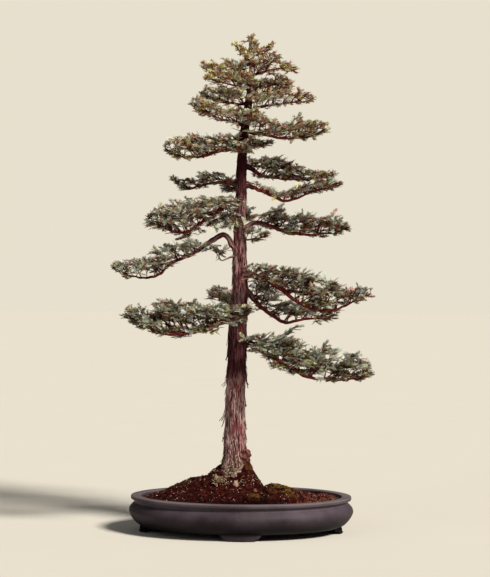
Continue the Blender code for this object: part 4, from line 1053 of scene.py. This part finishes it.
class Spray:
    """The leafy part of a branch: its twigs, and the shoots that spread from them."""

    def __init__(self, branch, bare, leafy):
        self.name, self.root_radius, self.leaf_from, *_ = branch
        self.rng = random.Random(f"{SEED} {self.name}")
        self.pad = Pad(branch, leafy)
        self.twigs, self.shoots = Twigs(), Twigs()
        self.leafy = leafy
        self.line = bare[:-2] + leafy
        self.start = len(bare) - 2
        outside = (k for k, p in enumerate(self.line) if trunk_clearance(p) > 2 * MM)
        self.outside = next(outside, self.start)
        self.fill_pad()
        self.add_hand_twigs()
        self.add_tip_twigs()

    def fill_pad(self):
        """Twigs all along the branch, each turned from upright in its own way and cut to the pad."""
        rng, line = self.rng, self.line
        first = self.start + 1
        if self.name not in BARE_INSIDE:
            first = min(self.outside, first)
        dense = self.name in DENSE or "crown" in self.name or "top" in self.name
        count = round(LINE_STEP * (len(line) - first) / TWIG_SPACING * (DENSE_SHARE if dense else 1.0))
        count = max(5, count)
        for k in range(count):
            index = first + round((len(line) - first) * (k + rng.uniform(0, 1)) / count)
            index = min(len(line) - 1, index)
            share = max(0.0, (index - self.start) / (len(self.leafy) - 1))
            level = level_way(line, index)
            turned = ROLLS[k % len(ROLLS)] * (LIFTED_SHARE if self.name in LIFTED else 1.0)
            roll = math.radians(turned + rng.uniform(-14, 14))
            far = self.pad.reach(share, roll) * rng.uniform(0.1, 0.95) ** 0.38
            end = line[index] + (UP.cross(level) * math.sin(roll) + UP * math.cos(roll)) * far
            root = line[max(first, index - round(far * rng.uniform(-0.1, 1.1) / LINE_STEP))]
            if trunk_clearance(end) >= 5 * MM and trunk_clearance(root.lerp(end, 0.6)) >= 3 * MM:
                self.add_twig(root, end - root, level)

    def add_hand_twigs(self):
        """The listed twigs, each from a point of the branch a little nearer the trunk than its end."""
        line = self.line
        for point in HAND_TWIGS.get(self.name, ()):
            end = Vector(point) * MM
            nearest = min(range(len(line)), key=lambda k: (line[k] - end).length)
            index = max(self.outside, nearest - round((line[nearest] - end).length * 0.4 / LINE_STEP))
            self.add_twig(line[index], end - line[index], level_way(line, index),
                          forked=self.name not in PLAIN_TWIGS, free=True)

    def add_tip_twigs(self):
        """A few twigs that lie close along the branch's tip."""
        for k in range(TIP_TWIGS):
            index = len(self.leafy) - 6 - 2 * k
            reach = self.leafy[index + 3] - self.leafy[index] + jitter(self.rng, 6 * MM)
            self.add_twig(self.leafy[index], reach, level_way(self.leafy, index))

    def add_twig(self, root, reach, level, forked=True, free=False):
        """A side twig with its forks, and the shoots that spread from its outer part to the left and right.

        The pad's outline limits the forks and shoots, except on a free twig.
        """
        rng = self.rng
        length = reach.length
        ahead = reach.normalized()
        side = ahead.cross(UP)
        side = side.normalized() if side.length > 0.2 else level.cross(UP)
        arch = (UP * rng.uniform(-0.02, 0.12) + side * rng.uniform(-0.14, 0.14)) * length
        upper = (UP + jitter(rng, 0.5)).normalized()
        end = root + reach
        thick = 0.75 * MM + 0.016 * length if forked else 0.8 * MM
        mood = rng.gauss(self.pad.paleness, 0.24)
        look = tone(end, self.pad.fullness(end), mood, rng)
        self.twigs.add(root, reach, arch, upper, (thick, TWIG_TIP_RADIUS), 0.75, look)
        forks = round(length / FORK_SPACING) if forked else 0
        for k in range(forks):
            t = 0.22 + 0.6 * (k + rng.uniform(0, 1)) / forks
            out = side * (1 if k % 2 else -1)
            self.add_fork(on_twig(root, reach, arch, t), length * (1 - t), ahead, out, level, free)
        first = 0.5 if forked else 0.3
        count = max(2, round((length * (1 - first) + 4 * MM) / SHOOT_SPACING))
        for k in range(count):
            t = first + (1 - first) * (k + rng.uniform(0.2, 1)) / count
            out = side * (1 if k % 2 else -1)
            self.add_shoot(on_twig(root, reach, arch, t), ahead, out, level, mood, free)

    def add_fork(self, place, left, ahead, out, level, free):
        """A side twig of a twig, shortened a few times if it doesn't fit in the pad."""
        rng = self.rng
        way = ahead * rng.uniform(0.3, 0.8) + out * rng.uniform(0.3, 1.1)
        way = (way + level * rng.uniform(-0.2, 0.5) + UP * rng.uniform(-0.3, 0.3)).normalized()
        fork = way * (left * rng.uniform(0.5, 0.9) + 7 * MM)
        for _ in range(8):
            fits = free or self.pad.fullness(place + fork)[0] < 0.9
            if fits and trunk_clearance(place + fork) > 4 * MM:
                break
            fork *= 0.85
        if fork.length > 7 * MM:
            self.add_twig(place, fork, level, forked=False, free=free)

    def add_shoot(self, place, ahead, out, level, mood, free):
        """A shoot from a twig, turned anew and shortened until it about fits in the pad, or left out."""
        rng = self.rng
        far = SHOOT_LENGTH * rng.uniform(0.6, 1.25) * (0.8 if place.z > 0.9 else 1.0)
        limit = rng.uniform(0.85, 1.2) if rng.random() < 0.8 else 1.5
        limit = math.inf if free else limit
        for _ in range(6):
            way = ahead * rng.uniform(0.2, 0.8) + out * rng.uniform(0.2, 1.1)
            way = way + level * rng.uniform(0, 0.5) + UP * rng.uniform(-0.4, 0.4)
            shoot = way.normalized() * far
            end = place + shoot
            fullness = self.pad.fullness(end)
            if fullness[0] < limit and trunk_clearance(end) > 3 * MM:
                break
            far *= 0.9
        if fullness[0] > limit + 0.12 or trunk_clearance(end) < 2 * MM:
            return
        upper = (UP + out * 0.3 + jitter(rng, 0.8)).normalized()
        arch = UP * far * rng.uniform(-0.04, 0.08)
        self.shoots.add(place, shoot, arch, upper, SHOOT_RADII, 0.04, tone(end, fullness, mood, rng))

    def make(self, needle_material, bark_material):
        """Its wood in one piece and its needles in another."""
        wood = Form()
        last = len(self.leafy) - 1
        shares = [self.leaf_from + (1 - self.leaf_from) * k / last for k in range(last + 1)]
        radii = [branch_radius(self.root_radius, share) for share in shares]
        radii[-1] = TIP_RADIUS
        add_stem(wood, self.leafy, radii, TWIG_SIDES, name_seed(self.name), relief=0.2)
        for some, sides, steps in ((self.twigs, 4, 5), (self.shoots, 3, 2)):
            rings = some.rings(sides, steps)
            wood.add_rings(rings, rings.reshape(-1, 3))
        wood.make(f"twigs_{self.name}", bark_material, "redwood_bark", f"leaves_{self.name}")
        leaves = Form()
        rng = np.random.default_rng(name_seed(self.name))
        add_needles(leaves, self.shoots, rng)
        add_needles(leaves, self.twigs, rng)
        leaves.make(f"needles_{self.name}", needle_material, "redwood_needles", f"leaves_{self.name}",
                    smooth=False)


def add_stem(form, line, radii, sides, seed, relief):
    """A round stem along a line, with lengthwise ridges and slow swellings, closed at its ends."""
    line = np.array(line)
    ahead = unit(np.gradient(line, axis=0))
    above = unit(np.array(UP) - ahead * ahead[:, 2:3] + 1e-6)
    for k in range(1, len(line)):
        kept = above[k - 1] - ahead[k] * (above[k - 1] @ ahead[k])
        above[k] = kept / np.linalg.norm(kept)
    across = np.cross(above, ahead)[:, None]
    above = above[:, None]
    along = np.concatenate([[0], np.cumsum(np.linalg.norm(np.diff(line, axis=0), axis=1))])[:, None]
    angle = turns(sides)
    ridges = np.arange(sides)[None, :] / sides * sides / 2
    rough = wander(ridges, along / (9 * MM), max(2, sides // 2), seed)
    reach = np.array(radii)[:, None] * (1 + relief * rough)
    cos, sin = np.cos(angle), np.sin(angle)
    straight = np.stack([cos * reach, sin * reach, np.broadcast_to(along, reach.shape)], axis=-1)
    spoke = across * cos[:, None] + above * sin[:, None]
    form.add_rings(line[:, None] + spoke * reach[..., None], straight.reshape(-1, 3) + seed * 0.37)


def trunk_relief(angle, height, radius):
    """Depth in mm of the bark's long plates and fibres at an angle and a height in mm."""
    turn = angle / (2 * math.pi)
    drift = 0.5 * wander(turn * 5, height / 60, 5, 1)
    plates = wander(turn * 24 + drift, height / 34, 24, 2)
    slats = wander(turn * 38 + drift, height / 13, 38, 3)
    fibres = wander(turn * 40, height / 5, 40, 4)
    depth = 1.0 - 2.3 * np.abs(plates) ** 0.8
    return (depth + 0.8 * slats + 0.45 * fibres) * (radius / 20) ** 0.8


def trunk_rings():
    """Rings round the trunk, fluted, flared at the roots and with the relief of its bark."""
    levels = smooth_route([Vector((x, radius, z)) for z, x, radius in TRUNK], TRUNK_STEP)
    angle = turns(TRUNK_SIDES)
    x, radius, height = np.array(levels).T[:, :, None]
    flutes = FLUTES[0] * np.sin(3 * angle + height / 70) + FLUTES[1] * np.sin(5 * angle - height / 32)
    flare_top, flare_tall, stands_out = ROOT_FLARE
    roots = stands_out * np.clip((flare_top - height) / flare_tall, 0, 1) * np.sin(5 * angle + 0.6)
    reach = radius * (1 + flutes + roots) + trunk_relief(angle, height, radius)
    return np.stack([x + np.cos(angle) * reach, np.sin(angle) * reach, height + 0 * reach], axis=-1) * MM


def make_trunk(finish, routes):
    """The trunk, its burl and the bare part of every branch, in one piece."""
    wood = Form()
    rings = trunk_rings()
    wood.add_rings(rings, rings.reshape(-1, 3))
    for (name, root_radius, leaf_from, *_), (bare, _) in zip(BRANCHES, routes):
        first = next((k for k, p in enumerate(bare) if trunk_clearance(p) > -6 * MM), 0)
        line = resample(bare[min(first, len(bare) - 3):], LIMB_STEP * MM)
        share = np.linspace(leaf_from * first / len(bare), leaf_from, len(line))
        from_trunk = np.linspace(0, 1, len(line)) * len(line) * LIMB_STEP
        collar = 1 + 0.55 * np.exp(-from_trunk / 9)
        radii = [branch_radius(root_radius, s) * c for s, c in zip(share, collar)]
        add_stem(wood, line, radii, LIMB_SIDES, name_seed(name), relief=0.24)
    balls = knobbly_balls(len(BURLS), rows=12, sides=18, fineness=2.4, depth=0.22, shift=5, seed=8)
    for ball, (*place, size) in zip(balls, BURLS):
        rings = ball * size * MM + np.array(place) * MM
        wood.add_rings(rings, rings.reshape(-1, 3))
    wood.make("trunk_and_limbs", finish, "redwood_bark", "tree_wood")


def strip_rows():
    """Each strip's angle, upper height, length, half width, thickness and how far its lower end hangs off."""
    rng = random.Random(SEED)
    rows = [(math.radians(angle), top, length, 1.9, 1.3, off) for angle, top, length, off in LOOSE_STRIPS]
    lowest, tall = STRIP_HEIGHT
    for _ in range(STRIPS):
        top = lowest + tall * rng.random() ** 1.5
        rows.append((rng.uniform(0, 2 * math.pi), top, rng.uniform(10, 52), rng.uniform(0.7, 1.9), 0.65,
                     rng.choice(STRIP_LIFTS)))
    return rows


def make_strips(finish):
    """Long flat strips of bark on the trunk, their lower ends lifting off it."""
    strips = Form()
    t = np.linspace(0, 1, 7)
    for k, (angle, top, length, half_width, thickness, off) in enumerate(strip_rows()):
        height = top - length * t
        turn = angle + 0.12 * np.sin(t * 3 + k) + 0.05 * k % 0.1
        centre, radius = trunk_at(height)
        reach = radius + trunk_relief(turn, height, radius) * 0.6 + 0.4 + off * t ** 1.7
        outward = np.stack([np.cos(turn), np.sin(turn), 0 * turn], axis=1)
        axis = np.stack([centre, 0 * height, height], axis=1)
        place = outward * reach[:, None] + axis
        side = np.stack([-np.sin(turn), np.cos(turn), 0 * turn], axis=1)
        wide = (half_width * (0.15 + np.sin(math.pi * np.clip(t, 0.03, 0.97)) ** 0.5))[:, None] * side
        thick = outward * thickness
        corners = (place - wide - thick * 0.4, place - wide * 0.5 + thick, place + wide * 0.5 + thick,
                   place + wide - thick * 0.4)
        rings = np.stack(corners, axis=1)[:, ::-1] * MM
        strips.add_rings(rings, rings.reshape(-1, 3) + 0.01 * k)
    strips.make("bark_strips", finish, "redwood_bark")


def add_stage():
    """A pale floor, an even backdrop of about its colour, and soft light from the upper right in front."""
    bpy.ops.mesh.primitive_circle_add(vertices=96, radius=60, fill_type="NGON", location=(0, 0, -0.0005))
    floor = bpy.context.object
    floor.name = "floor"
    paper = Finish("floor_paper", 1.0, 0.0)
    paper.colour(paper.mix(paper.noise(paper.place, 3, 2), rgb(221, 215, 204), rgb(224, 218, 207)))
    floor.data.materials.append(paper.material)
    world = bpy.data.worlds.new("studio")
    bpy.context.scene.world = world
    world.use_nodes = True
    tree = world.node_tree
    seen, ambient = tree.nodes["Background"], tree.nodes.new("ShaderNodeBackground")
    seen.inputs["Color"].default_value = (*rgb(232, 224, 206), 1)
    ambient.inputs["Color"].default_value = (*rgb(240, 240, 236), 1)
    ambient.inputs["Strength"].default_value = AMBIENT_STRENGTH
    rays, mix = tree.nodes.new("ShaderNodeLightPath"), tree.nodes.new("ShaderNodeMixShader")
    tree.links.new(rays.outputs["Is Camera Ray"], mix.inputs[0])
    tree.links.new(ambient.outputs[0], mix.inputs[1])
    tree.links.new(seen.outputs[0], mix.inputs[2])
    tree.links.new(mix.outputs[0], tree.nodes["World Output"].inputs["Surface"])
    for name, place, softness, power, colour in LIGHTS:
        data = bpy.data.lights.new(name, "SUN")
        data.angle = math.radians(softness)
        data.energy = power
        data.color = colour
        light = bpy.data.objects.new(name, data)
        light.rotation_euler = (-Vector(place)).to_track_quat("-Z", "Y").to_euler()
        bpy.context.scene.collection.objects.link(light)


def add_camera():
    data = bpy.data.cameras.new("camera")
    data.sensor_width = 36
    data.lens = data.sensor_width * FOCAL_LENGTH / FRAME_HEIGHT
    data.clip_end = 200
    camera = bpy.data.objects.new("camera", data)
    turn = Euler((math.pi / 2 + CAMERA_PITCH, 0, 0)).to_matrix() @ Matrix.Rotation(CAMERA_ROLL, 3, "Z")
    camera.matrix_world = Matrix.Translation(CAMERA_PLACE) @ turn.to_4x4()
    bpy.context.scene.collection.objects.link(camera)
    bpy.context.scene.camera = camera


def gnarled(line, seed):
    """The line with small kinks, none of them at its ends."""
    k = np.arange(len(line))
    calm = np.minimum(1, np.minimum(k, len(line) - 1 - k) / 4)
    kinks = []
    for axis in range(3):
        slow = 1.3 * wander(0 * k, k / 5, 8, seed + axis)
        quick = 0.9 * wander(0 * k, k / 2.2, 8, seed + axis + 3)
        kinks.append(calm * (slow + quick) * MM)
    return [p + Vector(kink) for p, kink in zip(line, np.transpose(kinks).tolist())]


def split_route(line, share):
    """The bare and the leafy stretch of a branch, the second starting a little inside the first."""
    k = max(2, min(len(line) - 3, round(share * (len(line) - 1))))
    return line[:k + 2], line[k:]


def main():
    add_camera()
    add_stage()
    bpy.context.scene.view_settings.view_transform = "Standard"
    screen_plastic = screen_finish()
    for side in ("left", "right"):
        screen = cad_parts[f"drain_screen_{side}"]
        screen.data.materials.clear()
        screen.data.materials.append(screen_plastic)
    make_pot(clay_finish())
    make_soil(soil_finish())
    routes = []
    for k, (_, _, leaf_from, *_, points) in enumerate(BRANCHES):
        line = smooth_route([Vector(point) * MM for point in points], LINE_STEP)
        routes.append(split_route(gnarled(line, 40 + 6 * k), leaf_from))
    bark, needles, young_bark = bark_finish(), needle_finish(), twig_finish()
    make_trunk(bark, routes)
    make_strips(bark)
    for branch, (bare, leafy) in zip(BRANCHES, routes):
        Spray(branch, bare, leafy).make(needles, young_bark)


main()
